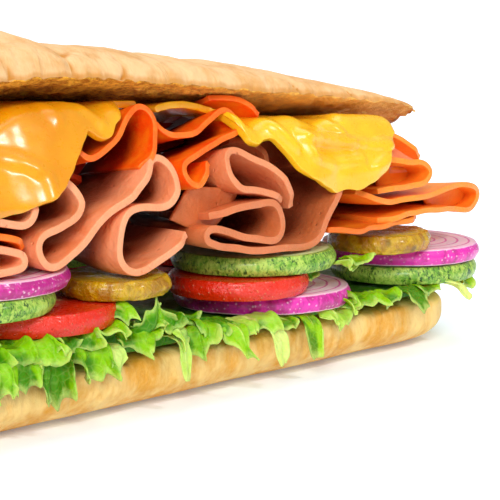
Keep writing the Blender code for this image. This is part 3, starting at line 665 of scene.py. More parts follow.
def pepperoni_finish(look):
    """Oily cured sausage, fine-grained, with a pale rim."""
    made = Finish("pepperoni", Subsurface_Weight=0.12, Subsurface_Scale=0.003, Specular_IOR_Level=0.35)
    edge = made.attribute("edge")
    blotch = made.cloud(8.0, 3.0, 0.6, twist=0.4)
    fine = made.cloud(1.3, 4.0, 0.7)
    meat = made.mix(made.fade(blotch + 0.3 * fine, 0.45, 0.85), look.pepperoni, look.pepperoni_deep)
    meat = made.mix(made.fade(fine, 0.5, 0.8) * 0.6, meat, look.pepperoni_light)
    meat = made.mix((1.0 - made.fade(edge, 0.8, 2.6)) * 0.6, meat, look.pepperoni_deep)
    meat = made.mix((1.0 - made.fade(edge + fine, 0.3, 0.9)) * 0.6, meat, look.pepperoni_edge)
    # partly painted light: the pepperoni is lighter towards the right end, where its rolls catch the light, on top of
    # their lighter fat
    meat = made.mix(made.rightwards(60.0, 120.0) * 0.5, meat, look.pepperoni_light)
    # painted shade: pepperoni slices that lie in the shade take the dark tone
    meat = made.mix(made.attribute("dim"), meat, look.pepperoni_inside)
    inside = made.attribute("inside")
    # painted shade: the pepperoni darkens inwards from the fronts and backs of its folds
    meat = made.mix(made.fade(inside + 2.0 * blotch, 7.0, 16.0) * 0.85, meat, look.pepperoni_inside)
    made.colour(meat)
    made.rough(0.3 + 0.25 * fine)
    made.relief(fine, 0.25)
    return made.material


def cheese_finish(look):
    """Soft yellow cheese with a satin shine."""
    made = Finish("cheese", Subsurface_Weight=0.3, Subsurface_Scale=0.005, Coat_Weight=0.3, Coat_Roughness=0.16)
    broad = made.cloud(16.0, 2.0)
    fine = made.cloud(1.8, 3.0, 0.5)
    # painted light: the cheese is lighter towards the right and darker towards the left, with a deeper tone in broad
    # patches at random
    lit = made.rightwards(-30.0, 70.0) - 0.6 * made.fade(broad, 0.35, 0.7)
    made.colour(made.mix(made.fade(lit, -0.6, 1.0), look.cheese_deep, look.cheese))
    made.rough(0.22 + 0.14 * fine)
    made.relief(0.4 * fine + 3.0 * broad, 0.1)
    return made.material


def finish_piece(name, bm, material, nodes, sharp=55.0):
    """Turns a mesh in millimetres into a piece that rides on the body and stands for its CAD nodes."""
    bmesh.ops.scale(bm, vec=(MM, MM, MM), verts=bm.verts)
    bmesh.ops.recalc_face_normals(bm, faces=bm.faces)
    mesh = bpy.data.meshes.new(name)
    bm.to_mesh(mesh)
    bm.free()
    mesh.shade_smooth()
    mesh.set_sharp_from_angle(angle=math.radians(sharp))
    mesh.materials.append(material)
    made = bpy.data.objects.new(name, mesh)
    bpy.context.scene.collection.objects.link(made)
    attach(made, "root")
    if nodes:
        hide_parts(*nodes)
    return made


def thicken(made, thickness, round_edge=0.0, levels=0, even=True):
    """Gives an open sheet its thickness, with rounded edges."""
    solid = made.modifiers.new("thickness", "SOLIDIFY")
    solid.thickness = thickness
    solid.offset = 0.0
    solid.use_even_offset = even
    if round_edge:
        bevel = made.modifiers.new("edges", "BEVEL")
        bevel.width = round_edge
        bevel.segments = 3
        bevel.profile = 0.5
        bevel.limit_method = "ANGLE"
        bevel.angle_limit = math.radians(50.0)
        bevel.use_clamp_overlap = True
    if levels:
        smooth = made.modifiers.new("smooth", "SUBSURF")
        smooth.levels = levels
        smooth.render_levels = levels


def end_taper(x, half_length=HALF_LENGTH):
    """Width of the loaf's plan at x, as a share of its full width."""
    into_end = clamp((abs(x) - half_length + END_LENGTH) / END_LENGTH)
    return (1.0 - into_end**END_SQUARENESS) ** (1.0 / END_SQUARENESS)


def lid_face(x, y):
    """Height of the upper half's cut face."""
    lip = LIP_HEIGHT - LIP_FALL * (math.hypot(x - LIP_PEAK_X, LIP_PEAK_WIDTH) - LIP_PEAK_WIDTH)
    return lip - LID_SLOPE * (y - LIP_Y)


def crust_lump(x, y, z):
    """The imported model's lumps with finer ones on them."""
    return grain(x, y, z, LUMP_PITCH) + 0.4 * grain(x, y, z + 7.0, 9.0) + 0.14 * grain(x, y, z + 3.0, 3.2)


def loaf_sphere():
    """A sphere whose poles become the loaf's two ends, with each vertex's place along and around it."""
    bm = bmesh.new()
    rise, crease = bm.verts.layers.float.new("rise"), bm.verts.layers.float.new("crease")
    bmesh.ops.create_uvsphere(bm, u_segments=BREAD_SIDES, v_segments=BREAD_RINGS, radius=1.0)
    return bm, [(v, v.co.z, math.atan2(v.co.y, v.co.x)) for v in bm.verts], rise, crease


def lower_half(look, material):
    """The lower half: rounded crust on a flat underside, cut flat on top."""
    bm, places, rise, crease = loaf_sphere()
    lumps = look.lump / MM
    for vertex, along, around in places:
        x = HALF_LENGTH * along
        taper = end_taper(x)
        across, up = math.cos(around), math.sin(around)
        lump = lumps * crust_lump(x, LUMP_ACROSS * across, LUMP_UP * up)
        fold = grain(x, 0.0, 3.0 * up, 5.0) * smooth_step(abs(x), 100.0, 145.0)
        lump += 0.35 * fold * (1.0 - abs(up))
        if up >= 0.0:
            y = (HALF_WIDTH + lump * (1.0 - up)) * taper * signed_power(across, SHOULDER_ACROSS_POWER)
            z = CUT_HEIGHT - WIDEST_HEIGHT
            z = WIDEST_HEIGHT + z * taper**SHOULDER_END_POWER * up**SHOULDER_UP_POWER
        else:
            y = (HALF_WIDTH + lump) * taper * signed_power(across, UNDERSIDE_ACROSS_POWER)
            sink = (WIDEST_HEIGHT + UNDERSIDE_SINK) * taper**UNDERSIDE_END_POWER
            z = WIDEST_HEIGHT - sink * (-up) ** UNDERSIDE_DOWN_POWER
        vertex.co = (x, y, max(z, 0.0))
        vertex[rise] = 6.0 - 10.0 * smooth_step(up, 0.55, 0.8)
        # painted shade: the lower crust is darker near the floor
        vertex[crease] = 0.5 * smooth_step(-z, -4.0, 0.0)
    bmesh.ops.remove_doubles(bm, verts=bm.verts, dist=0.001)
    return finish_piece("bread_bottom_crust", bm, material, ["bread_bottom"])


def crease_depth(creases, x, height):
    """How deep the clefts are at a place on the upper crust, and how much of a cleft it is."""
    depth = share = 0.0
    for ax, ah, bx, bh, half_width, full in creases:
        if abs(x - ax) > 16.0 and abs(x - bx) > 16.0:
            continue
        dx, dh = bx - ax, bh - ah
        t = clamp(((x - ax) * dx + (height - ah) * dh) / (dx * dx + dh * dh))
        away = math.hypot(x - ax - t * dx, height - ah - t * dh) / half_width
        near = math.exp(-away * away) * (0.35 + 0.65 * t)
        depth = max(depth, full * near)
        share = max(share, near)
    return depth, share


def lid_thickness(x, taper):
    return (LID_THICKNESS - LID_THICKNESS_FALL * abs(x - LIP_PEAK_X)) * taper**LID_END_POWER


def upper_half(look, material, draws):
    """The upper half: a creased, domed crust over a porous, sloping cut face with a ragged lip."""
    bm, places, rise, crease = loaf_sphere()
    creases = list(CREASES)
    for _ in range(CREASE_COUNT):
        x = draws.uniform(-140.0, -40.0)
        creases.append((x + draws.uniform(-4.0, 4.0), draws.uniform(4.0, 12.0), x, 0.0,
                        draws.uniform(0.6, 1.4), draws.uniform(0.6, 1.5)))
    lumps, pores = look.lump / MM, look.pore / MM
    middle = 0.5 * (LIP_Y + LID_BACK_Y)
    half_width = 0.5 * (LID_BACK_Y - LIP_Y)
    for vertex, along, around in places:
        x = LID_HALF_LENGTH * along
        taper = end_taper(x, LID_HALF_LENGTH)
        across, up = math.cos(around), math.sin(around)
        side = signed_power(across, LID_ACROSS_POWER)
        y = middle + half_width * taper * side
        face = lid_face(x, y)
        ragged = (1.0 - smooth_step(abs(up), 0.0, 0.3)) * (1.0 + 2.6 * smooth_step(x, 124.0, 142.0))
        y += ragged * (0.9 * grain(x, 0.0, 0.0, 3.4) + 0.5 * grain(x, 9.0, up, 1.5))
        if up > 0.0:
            lump = lumps * crust_lump(x, LUMP_ACROSS * across + LUMP_SHIFT, LUMP_UP * up)
            lump += between(CROWN, x) * smooth_step(taper, 0.0, 0.6)
            height = (lid_thickness(x, taper) * (1.0 + LID_BACK_FULLNESS * side) + lump) * up**LID_DOME_POWER
            depth, share = crease_depth(creases, x, height) if across < 0.2 else (0.0, 0.0)
            y += depth * (1.0 - up)
            z = face + height - depth * up
            vertex[crease] = share
            vertex[rise] = height
        else:
            z = face + pores * (grain(x, y, 0.0, 4.5) + 0.7 * grain(x, y, 5.0, 2.0)) * min(-3.0 * up, 1.0)
            vertex[rise] = -min(y - middle + half_width * taper, half_width) - 0.5
        z += 0.8 * ragged * grain(x, 30.0, 2.0 * up, 2.6)
        vertex.co = (x, y, z)
    bmesh.ops.remove_doubles(bm, verts=bm.verts, dist=0.001)
    return finish_piece("bread_top_crust", bm, material, ["bread_top"], 80.0)


def lettuce_top(x):
    """Height of the lettuce's top, thicker under the left-hand salad."""
    share = smooth_step(x, LETTUCE_STEP_X - LETTUCE_STEP_WIDTH, LETTUCE_STEP_X + LETTUCE_STEP_WIDTH)
    return LETTUCE_TOP_HIGH + (LETTUCE_TOP_LOW - LETTUCE_TOP_HIGH) * share


def rim_stations(inset):
    """Points round the loaf's plan, moved in by inset, with the distance run so far."""
    power = 2.0 / END_SQUARENESS
    straight = HALF_LENGTH - END_LENGTH
    stations = []
    run = 0.0
    for i in range(RIM_STEPS + 1):
        angle = 2.0 * math.pi * (i + 0.5) / RIM_STEPS
        x = signed_power(math.cos(angle), power) * (END_LENGTH - inset)
        x += math.copysign(straight, math.cos(angle))
        y = signed_power(math.sin(angle), power) * (HALF_WIDTH - inset)
        if stations:
            run += math.dist((x, y), stations[-1][:2])
        stations.append((x, y, run))
    return stations


def rim_place(stations, run):
    """Point and outward direction at a distance round the plan."""
    run %= stations[-1][2]
    for (ax, ay, a), (bx, by, b) in zip(stations, stations[1:]):
        if a <= run <= b and b > a:
            share, step = (run - a) / (b - a), b - a
            return ax + share * (bx - ax), ay + share * (by - ay), (by - ay) / step, (ax - bx) / step
    return stations[-1][0], stations[-1][1], 1.0, 0.0


def leaf_profile(run, shelf, bend, fall):
    """Distance out, height and slope after a run along a leaf that leaves flat and then bends down, or up for a
    fall below 0."""
    if run <= shelf:
        return run, 0.0, 0.0
    turned = min((run - shelf) / bend, abs(fall))
    rest = run - shelf - turned * bend
    out = shelf + bend * math.sin(turned) + rest * math.cos(turned)
    down = bend * (1.0 - math.cos(turned)) + rest * math.sin(turned)
    return out, math.copysign(down, -fall), math.copysign(turned, fall)


def add_leaf(bm, layers, place, shape, draws, columns=64, rows=18):
    """A ruffled leaf with a toothed edge. place gives its base's middle, outward direction and height; shape gives
    width, length, flat run, fall in degrees, ruffle height and paleness."""
    x, y, nx, ny, z = place
    width, length, shelf, fall, ruffle, paleness = shape
    grid = bmesh.ops.create_grid(bm, x_segments=columns, y_segments=rows, size=0.5)["verts"]
    tip, pale, across, hollow = layers
    lobes = width / draws.uniform(8.0, 13.0)
    phase, second = draws.uniform(0.0, 6.3), draws.uniform(0.0, 6.3)
    shift = draws.uniform(0.0, 50.0)
    for vertex in grid:
        u, v = vertex.co.x, vertex.co.y + 0.5
        turn = math.pi * lobes * u + phase + 0.9 * grain(u * width, shift, 0.0, 9.0)
        tooth = 1.0 - abs(math.sin(turn))
        small = 1.0 - abs(math.sin(3.3 * turn + second))
        reach = length * (1.0 - 0.4 * abs(2.0 * u) ** 2.6)
        reach *= 0.86 + 0.06 * tooth + 0.08 * small
        reach *= 1.0 + 0.32 * grain(u * width, shift, 4.0, 6.5) + 0.16 * grain(u * width, shift, 9.0, 2.2)
        out, up, slope = leaf_profile(v * reach, shelf, 4.0, math.radians(fall))
        grow = v**1.4
        wave = grow * math.sin(2.0 * turn + 0.8 * v) + 1.3 * v * grain(u * width, 14.0 * v, shift, 5.0)
        wave += v**4 * 0.5 * math.sin(5.6 * turn + 3.0 * v + second)
        wave += 0.8 * v * math.sin(0.55 * turn + second)
        lift = ruffle * wave + 0.5 * grain(u * width, v * length, shift, 3.0)
        out += lift * math.sin(slope)
        up += lift * math.cos(slope)
        side = u * width * (0.74 + 0.26 * v) + 0.9 * ruffle * grow * math.cos(2.0 * turn + 0.6)
        vertex.co = (x + nx * out - ny * side, y + ny * out + nx * side, z + up)
        vertex[tip] = v
        vertex[pale] = paleness
        vertex[across] = abs(u)
        # painted shade mask: how deep the ruffle dips at this point
        vertex[hollow] = clamp(-wave)


def lettuce_layers(bm):
    return [bm.verts.layers.float.new(name) for name in ("tip", "pale", "across", "hollow")]


# Leaves that show at the front: x, y and z of the base, turn in plan, width, length, flat run, fall (or rise, below
# 0), ruffle and paleness, below 0 for dark leaves
FRONT_LEAVES = (
    (-58, -35, 21, 4, 26, 17, 5, 70, 2.2, 0.05),
    (-47.5, -36, 22, 0, 12, 18, 5, 74, 1.7, 0.35),
    (-38.5, -36, 22, -10, 15, 15, 5, 76, 1.2, 0.15),
    (-48, -33, 26, 0, 22, 14, 7, 52, 2.4, -0.1),
    (-33, -34, 25.5, 0, 24, 14.5, 7, 52, 2.6, 0.1),
    (-28.5, -36, 22, -8, 12, 20, 5, 78, 1.8, -0.5),
    (-17, -35.5, 22, 4, 16, 18, 5, 76, 2, -0.15),
    (-8.5, -37, 21, 0, 6.5, 16.5, 4, 80, 0.8, 0.75),
    (-14, -34, 25.5, 0, 24, 14, 7, 54, 2.3, 0.12),
    (-5, -35, 31, 6, 9, 12, 5, 66, 1.3, 0.25),
    (2, -36, 23.5, 0, 15, 14, 5, 76, 1.4, 0),
    (7.5, -38, 21.5, 0, 15.5, 13.5, 1.5, -84, 1.5, -0.5),
    (14.5, -38.5, 22.5, 8, 8, 12.5, 4, 80, 1.6, 0.55),
    (15, -38, 20, 0, 4, 19, 4, 82, 0.6, 0.65),
    (21.5, -37, 21.5, -4, 12, 15.5, 4, 78, 1.5, -0.2),
    (12, -34, 24.5, 0, 26, 11, 6, 50, 1.5, -0.4),
    (30.5, -36, 22, 0, 18, 12.5, 5, 68, 1.4, -0.25),
    (34.5, -38, 20.5, 8, 10, 15.5, 4, 74, 2.2, 0.3),
    (45.5, -37, 21, 0, 17, 12.5, 5, 72, 1.2, 0.45),
    (51, -38.5, 17.5, 8, 6.5, 18, 4, 77, 0.6, 0.8),
    (59.5, -37, 19, 0, 9, 9.5, 4, 60, 1, 0.2),
    (67, -38, 19, 0, 6, 18, 4, 82, 0.7, 0.05),
    (78, -38, 19, 0, 13, 12, 4, 62, 1.2, 0.5),
    (82, -39, 21.5, 14, 8, 11.5, 4, 66, 1.4, 0.3),
    (86, -36, 21, -12, 12, 10, 6, 44, 1.4, 0),
    (72, -34, 31, 0, 9, 10, 3, 80, 0.8, -0.2),
    (84, -37, 32, 10, 10, 9.5, 5, 54, 1.4, 0.5),
    (91, -37.5, 33, 12, 14, 9, 6, 30, 1.2, 0.05),
    (90.5, -37, 21.5, 0, 14, 11.5, 5, 62, 1.8, -0.3),
    (101, -37, 21, 4, 15, 12.5, 5, 64, 1.8, 0.1),
    (114, -36.5, 20.5, 18, 11, 14, 5, 58, 0.8, -0.6),
    (124, -36, 20.5, 14, 12, 10, 5, 40, 1.2, -0.2),
    (134, -35, 20.5, 30, 15, 15, 6, 44, 1, 0.95),
    (143, -31, 20.5, 40, 9, 13.5, 6, 48, 1, 0.05),
    (146, -27, 23.5, 48, 16, 14, 5, 10, 2.2, 0.3),
)


def lettuce_bed(look, material):
    """The heap of leaves under the salad, as one uneven slab."""
    bm = bmesh.new()
    layers = lettuce_layers(bm)
    bmesh.ops.create_grid(bm, x_segments=170, y_segments=44, size=0.5)
    extruded = bmesh.ops.extrude_face_region(bm, geom=bm.faces[:])["geom"]
    top = {v for v in extruded if isinstance(v, bmesh.types.BMVert)}
    for vertex in bm.verts:
        x = (HALF_LENGTH - BED_INSET) * math.sin(math.pi * vertex.co.x)
        half = (HALF_WIDTH - BED_INSET) * max(end_taper(x, HALF_LENGTH - BED_INSET + 1.0), 0.2)
        y = 2.0 * vertex.co.y * half
        edge = smooth_step(abs(vertex.co.y), 0.36, 0.5)
        if vertex in top:
            z = lettuce_top(x) - 0.3 + (0.6 + 1.2 * edge) * (grain(x, y, 0.0, 8.0) - 0.4)
        else:
            z = CUT_HEIGHT + 0.2
        y += math.copysign(1.5 * edge * grain(x, 0.0, 0.0, 6.0), y)
        vertex.co = (x, y, max(z, CUT_HEIGHT + 0.2))
        # painted shade: the bed under the salad gets the full darkening of the leaves' hollows and a low paleness, so
        # it takes the dark leaf tone
        for layer, value in zip(layers, (0.6, -0.9, 0.5, 1.0)):
            vertex[layer] = value
    return finish_piece("lettuce_bed", bm, material, ["lettuce"])


def lettuce_leaves(look, material, draws):
    """Ruffled leaves all round the bed, and the ones that hang over the front crust."""
    stations = rim_stations(RIM_INSET)
    whole = stations[-1][2]
    thickness = look.leaf_thickness
    for name, first, last in (("lettuce_leaves_back", 0, LEAVES_ROUND // 2),
                              ("lettuce_leaves_left", LEAVES_ROUND // 2, LEAVES_ROUND)):
        bm = bmesh.new()
        layers = lettuce_layers(bm)
        for i in range(first, last):
            x, y, nx, ny = rim_place(stations, whole * (i + draws.uniform(-0.2, 0.2)) / LEAVES_ROUND)
            shape = (draws.uniform(30.0, 40.0), draws.uniform(15.0, 21.0), 6.0, draws.uniform(50.0, 75.0),
                     draws.uniform(1.5, 2.4), draws.uniform(0.0, 0.3))
            if y < -20.0 and x > -58.0:
                continue
            add_leaf(bm, layers, (x, y, nx, ny, lettuce_top(x) - draws.uniform(1.0, 3.5)), shape, draws, 50, 16)
        thicken(finish_piece(name, bm, material, [], 180.0), thickness, even=False)
    bm = bmesh.new()
    layers = lettuce_layers(bm)
    for x, y, z, turn, *shape in FRONT_LEAVES:
        heading = math.radians(turn)
        add_leaf(bm, layers, (x, y, math.sin(heading), -math.cos(heading), z), shape, draws)
    thicken(finish_piece("lettuce_leaves_front", bm, material, [], 180.0), thickness, even=False)


def slice_profile(radius, half):
    """Half of a slice's section from its middle over the rounded rim, as radius and height."""
    flat = radius - SLICE_BULGE - SLICE_CORNER
    points = [(flat * share, half) for share in (0.0, 0.15, 0.3, 0.45, 0.6, 0.72, 0.82, 0.9, 0.95, 1.0)]
    for i in range(1, 4):
        angle = math.radians(30.0 * i)
        points.append((flat + SLICE_CORNER * math.sin(angle), half - SLICE_CORNER * (1.0 - math.cos(angle))))
    steps = 7
    side = half - SLICE_CORNER
    for i in range(1, steps):
        height = side * (1.0 - 2.0 * i / steps)
        points.append((radius - SLICE_BULGE * (height / side) ** 2, height))
    return points + [(r, -h) for r, h in reversed(points[:13])]


def salad_slice(node, material, slot, unevenness, crinkle):
    """A round slice on its CAD node's place, spun from its section and made a little uneven."""
    low, high = (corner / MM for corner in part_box(node))
    centre = 0.5 * (low + high)
    radius = 0.25 * (high.x - low.x + high.y - low.y)
    half = 0.5 * (high.z - low.z)
    bm = bmesh.new()
    inner, level, radial = (bm.verts.layers.float.new(name) for name in ("inner", "level", "radial"))
    verts = [bm.verts.new((r, 0.0, h)) for r, h in slice_profile(radius, half)]
    edges = [bm.edges.new(pair) for pair in zip(verts, verts[1:])]
    bmesh.ops.spin(bm, geom=verts + edges, cent=(0.0, 0.0, 0.0), axis=(0.0, 0.0, 1.0), angle=2.0 * math.pi,
                   steps=SLICE_SPOKES, use_merge=True, use_duplicate=False)
    bmesh.ops.remove_doubles(bm, verts=bm.verts, dist=0.01)
    for vertex in bm.verts:
        r, h = math.hypot(vertex.co.x, vertex.co.y), vertex.co.z
        angle = math.atan2(vertex.co.y, vertex.co.x)
        rim = smooth_step(r, 0.6 * radius, radius - SLICE_BULGE)
        vertex[inner] = clamp(1.0 - r / (radius - SLICE_BULGE - 0.2))
        vertex[level] = abs(h) / half
        vertex[radial] = r / radius
        wobble = SLICE_OVAL * math.sin(2.0 * angle + centre.x) + SLICE_WOBBLE * math.sin(3.0 * angle + centre.y)
        reach = r * (1.0 + wobble) + rim * crinkle * math.sin(SLICE_RIM_CRINKLES * angle + 2.0 * math.sin(3.0 * angle))
        x, y = centre.x + reach * math.cos(angle), centre.y + reach * math.sin(angle)
        bump = unevenness * (grain(x, y, h + centre.z, 5.0) + 0.5 * grain(x, y, h + centre.z, 1.8))
        outward = 1.0 - vertex[level]
        x += rim * outward * bump * math.cos(angle)
        y += rim * outward * bump * math.sin(angle)
        vertex.co = (x, y, centre.z + h + 0.5 * bump * vertex[level])
    return finish_piece(f"{node}_slice", bm, material, [node], 70.0)


def fold_path(start, heading, bends):
    """Points along a folded slice's edge: straight runs and round bends, one after the other."""
    x, z = start
    angle = math.radians(heading)
    points = [(x, z)]
    for run, radius, turn in bends:
        for _ in range(steps := math.ceil(run / FOLD_STEP)):
            x += run / steps * math.cos(angle)
            z += run / steps * math.sin(angle)
            points.append((x, z))
        if not turn:
            continue
        steps = math.ceil(abs(turn) / BEND_STEP)
        step = math.radians(turn) / steps
        chord = 2.0 * radius * math.sin(abs(step) / 2.0)
        for _ in range(steps):
            x += chord * math.cos(angle + step / 2.0)
            z += chord * math.sin(angle + step / 2.0)
            angle += step
            points.append((x, z))
    for _ in range(FOLD_SOFTENING):
        middle = [(0.25 * (a[0] + 2.0 * b[0] + c[0]), 0.25 * (a[1] + 2.0 * b[1] + c[1]))
                  for a, b, c in zip(points, points[1:], points[2:])]
        points = [points[0], *middle, points[-1]]
    return points


def past_end(x):
    return max(abs(x) - END_START, 0.0) / (HALF_LENGTH - END_START)


def fold_front(x, z):
    """Where a fold's front edge lies: it leans back under the lip and turns in at the loaf's ends."""
    inwards = END_DEPTH_FRONT * past_end(x) ** 2
    return Vector((x + inwards, FOLD_FRONT_Y + inwards + LEAN_RATE * max(z - LEAN_START, 0.0), z))


def fold_place(x, z, share):
    """A fold's place on the way from its front to its back: straight back at first, then skewed to the right."""
    front, back = fold_front(x, z), fold_back(x, z)
    place = front.lerp(back, share)
    place.x = front.x + (back.x - front.x) * share**2
    return place


def fold_back(x, z):
    """Where the same edge comes out at the back: skewed to the right and pressed flatter."""
    back_x = x + FOLD_SKEW * (1.0 - (x / HALF_LENGTH) ** 2)
    back_y = FOLD_BACK_Y - END_DEPTH_BACK * past_end(back_x) ** 2
    ceiling = lid_face(back_x, back_y) - FOLD_TOP_BACK_GAP
    share = (z - FOLD_FLOOR) / (FOLD_TOP - FOLD_FLOOR)
    return Vector((back_x, back_y, FOLD_FLOOR_BACK + share * (ceiling - FOLD_FLOOR_BACK)))


def folded_slice(fold, material, thickness, ruffle, draws):
    """A slice of meat folded to and fro from front to back, with a soft, slightly ruffled front edge."""
    name, start, heading, bends = fold
    points = fold_path(start, heading, bends)
    last = len(points) - 1
    runs = [0.0]
    for a, b in zip(points, points[1:]):
        runs.append(runs[-1] + math.dist(a, b))
    bm = bmesh.new()
    edge, inside, dim = (bm.verts.layers.float.new(layer) for layer in ("edge", "inside", "dim"))
    bmesh.ops.create_grid(bm, x_segments=last, y_segments=FOLD_ROWS, size=0.5)
    shift = draws.uniform(0.0, 90.0)
    for vertex in bm.verts:
        i = round((vertex.co.x + 0.5) * last)
        share = (vertex.co.y + 0.5) ** FOLD_CROWDING
        x, z = points[i]
        before, after = points[max(i - 1, 0)], points[min(i + 1, last)]
        length = math.dist(before, after)
        across = ((before[1] - after[1]) / length, (after[0] - before[0]) / length)
        near = (1.0 - share) ** 4
        wave = ruffle * near * grain(runs[i], shift, 40.0 * share, 8.0)
        wave += 0.6 * ruffle * grain(runs[i], shift, 90.0 * share, 15.0)
        x += wave * across[0]
        z += wave * across[1]
        to_end = min(runs[i], runs[-1] - runs[i])
        retreat = 2.4 * (1.0 - smooth_step(to_end, 0.0, 5.0)) + 1.1 * grain(runs[i], shift, 5.0, 9.0)
        place = fold_place(x, z, share)
        place.y += (retreat + SET_BACK.get(name, 0.0)) * near
        vertex.co = place
        depth = FOLD_BACK_Y - FOLD_FRONT_Y
        vertex[edge] = min(share * depth, (1.0 - share) * depth, to_end)
        # painted shade: how far into the fold a point lies, for the darker tone of meat there
        vertex[inside] = OPENNESS.get(name, 1.0) * min(share, 1.0 - share) * depth
        vertex[dim] = DIMMED.get(name, 0.0)
    made = finish_piece(f"{name}_slice", bm, material, [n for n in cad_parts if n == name], 60.0)
    thicken(made, thickness, 0.42 * thickness)
    return made


def cheese_shoulder(x):
    """Where hanging cheese starts to bend, so that it then lies against the fronts of the folds."""
    bend_run = CHEESE_BEND * (math.sin(CHEESE_TURN) - LEAN_RATE * (1.0 - math.cos(CHEESE_TURN)))
    level = lid_face(x, 0.0) - CHEESE_BELOW_LID - CHEESE_SAG - LEAN_START
    return (FOLD_FRONT_Y - CHEESE_PROUD + bend_run + LEAN_RATE * level) / (1.0 + LEAN_RATE * LID_SLOPE)


def cheese_place(x, share, drop, sag):
    """A point on the cheese, from its back edge to its front or hanging edge, with how far it has fallen."""
    hanging = smooth_step(drop, 0.0, CHEESE_HANG_START)
    shoulder = CHEESE_TUCKED_Y + (cheese_shoulder(x) - CHEESE_TUCKED_Y) * hanging
    back = CHEESE_BACK_Y * end_taper(x)
    flat = back - shoulder
    bend = CHEESE_BEND * CHEESE_TURN * hanging
    run = share * (flat + bend + drop)
    y = back - min(run, flat)
    z = lid_face(x, y) - CHEESE_BELOW_LID - sag * smooth_step(-y, -CHEESE_SAG_START_Y, 33.0)
    turned = clamp((run - flat) / CHEESE_BEND, 0.0, bend / CHEESE_BEND)
    y -= CHEESE_BEND * math.sin(turned)
    z -= CHEESE_BEND * (1.0 - math.cos(turned))
    fall = max(run - flat - bend, 0.0)
    leaning = min(fall, max(z - LEAN_START, 0.0) / math.sin(CHEESE_TURN))
    y -= leaning * math.cos(CHEESE_TURN)
    z -= leaning * math.sin(CHEESE_TURN) + fall - leaning
    return y, z


def ridge_height(ridges, x, z):
    """How far the cheese's ridges stand out at a place on its face."""
    height = 0.0
    for ax, az, bx, bz, full, half_width in ridges:
        dx, dz = bx - ax, bz - az
        t = clamp(((x - ax) * dx + (z - az) * dz) / (dx * dx + dz * dz))
        away = math.hypot(x - ax - t * dx, z - az - t * dz) / half_width
        rise = full * math.exp(-away * away)
        height = max(height, rise) if full > 0.0 else height + rise
    return height


def cheese_slice(cheese, material, thickness, draws):
    """A thin slice over the meat, its corner bent down over the front of the folds, with soft ripples."""
    name, left, right, hang, sags, ridges = cheese
    bm = bmesh.new()
    bmesh.ops.create_grid(bm, x_segments=CHEESE_COLUMNS, y_segments=CHEESE_ROWS, size=0.5)
    shift = draws.uniform(0.0, 50.0)
    for vertex in bm.verts:
        x = left + (right - left) * (vertex.co.x + 0.5)
        share = 1.0 - (1.0 - (vertex.co.y + 0.5)) ** 1.4
        y, z = cheese_place(x, share, between(hang, x), between(sags, x))
        front = smooth_step(-y, 14.0, 34.0)
        swell = front * (0.7 * grain(x, z, shift, 13.0) + 0.3 * grain(x, 2.0 * z, shift + 9.0, 6.0))
        swell += front * ridge_height(ridges, x, z)
        vertex.co = (x, y - 0.9 * swell - 0.3 * front, z + 0.3 * swell)
    made = finish_piece(f"{name}_slice", bm, material, [name], 70.0)
    thicken(made, thickness, 0.0, 1)
    return made


def deep_meat(materials, thicknesses):
    """Flat sheets of meat inside the folds, some way behind their fronts, painted with the dark tones of meat in
    shade.
    """
    for kind in ("ham", "pepperoni"):
        bm = bmesh.new()
        edge, inside, dim = (bm.verts.layers.float.new(layer) for layer in ("edge", "inside", "dim"))
        for made_of, share, corners in DEEP_MEAT:
            if made_of != kind:
                continue
            outline = [bm.verts.new((x, share, z)) for x, z in corners]
            face = bm.faces.new(outline)
            middle = bmesh.ops.poke(bm, faces=[face])["verts"]
            for vertex in middle:
                vertex.co.y += 0.01
        bmesh.ops.subdivide_edges(bm, edges=bm.edges[:], cuts=4, use_grid_fill=True)
        for vertex in bm.verts:
            x, share, z = vertex.co
            z += 0.8 * grain(x, z, 3.0, 7.0) * (0.3 if vertex.is_boundary else 1.0)
            vertex.co = fold_place(x, z, share)
            # painted shade: each sheet takes the full dark tone of meat deep in the folds, and between x 0 and 80 the
            # browner tone of meat in shade
            vertex[edge] = SHEET_EDGE
            vertex[inside] = SHEET_DEPTH * smooth_step(share, 0.1, 0.3)
            vertex[dim] = SHEET_DIMNESS if 0.0 < x < 80.0 else 0.0
        made = finish_piece(f"{kind}_in_the_shade", bm, materials[kind], [])
        thicken(made, 0.5 * thicknesses[kind], even=False)


def looks(context, group):
    return getattr(context.scene, group)


class SANDWICH_OT_bread(bpy.types.Operator):
    """Builds the two halves of the loaf"""

    bl_idname = "sandwich.bread"
    bl_label = "Bread"

    def execute(self, context):
        look = looks(context, "sandwich_bread")
        draws = random.Random(SEED)
        lower_half(look, crust_finish("crust_bottom", look.base_pale, look.base_warm, look))
        upper_half(look, crust_finish("crust", look.crust_pale, look.crust_warm, look), draws)
        return {"FINISHED"}


class SANDWICH_OT_lettuce(bpy.types.Operator):
    """Builds the lettuce under the salad and over the crust's edge"""

    bl_idname = "sandwich.lettuce"
    bl_label = "Lettuce"

    def execute(self, context):
        look = looks(context, "sandwich_salad")
        material = lettuce_finish(look)
        lettuce_bed(look, material)
        lettuce_leaves(look, material, random.Random(SEED + 1))
        return {"FINISHED"}


class SANDWICH_OT_salad(bpy.types.Operator):
    """Builds the round slices of tomato, cucumber, onion and pickle"""

    bl_idname = "sandwich.salad"
    bl_label = "Salad slices"

    def execute(self, context):
        look = looks(context, "sandwich_salad")
        finishes = {"tomato": tomato_finish, "cucumber": cucumber_finish, "onion": onion_finish,
                    "pickle": pickle_finish}
        for kind, finish in finishes.items():
            material = finish(look)
            for node in sorted(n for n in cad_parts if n.startswith(kind)):
                salad_slice(node, material, kind, *SLICE_SURFACES[kind])
        return {"FINISHED"}


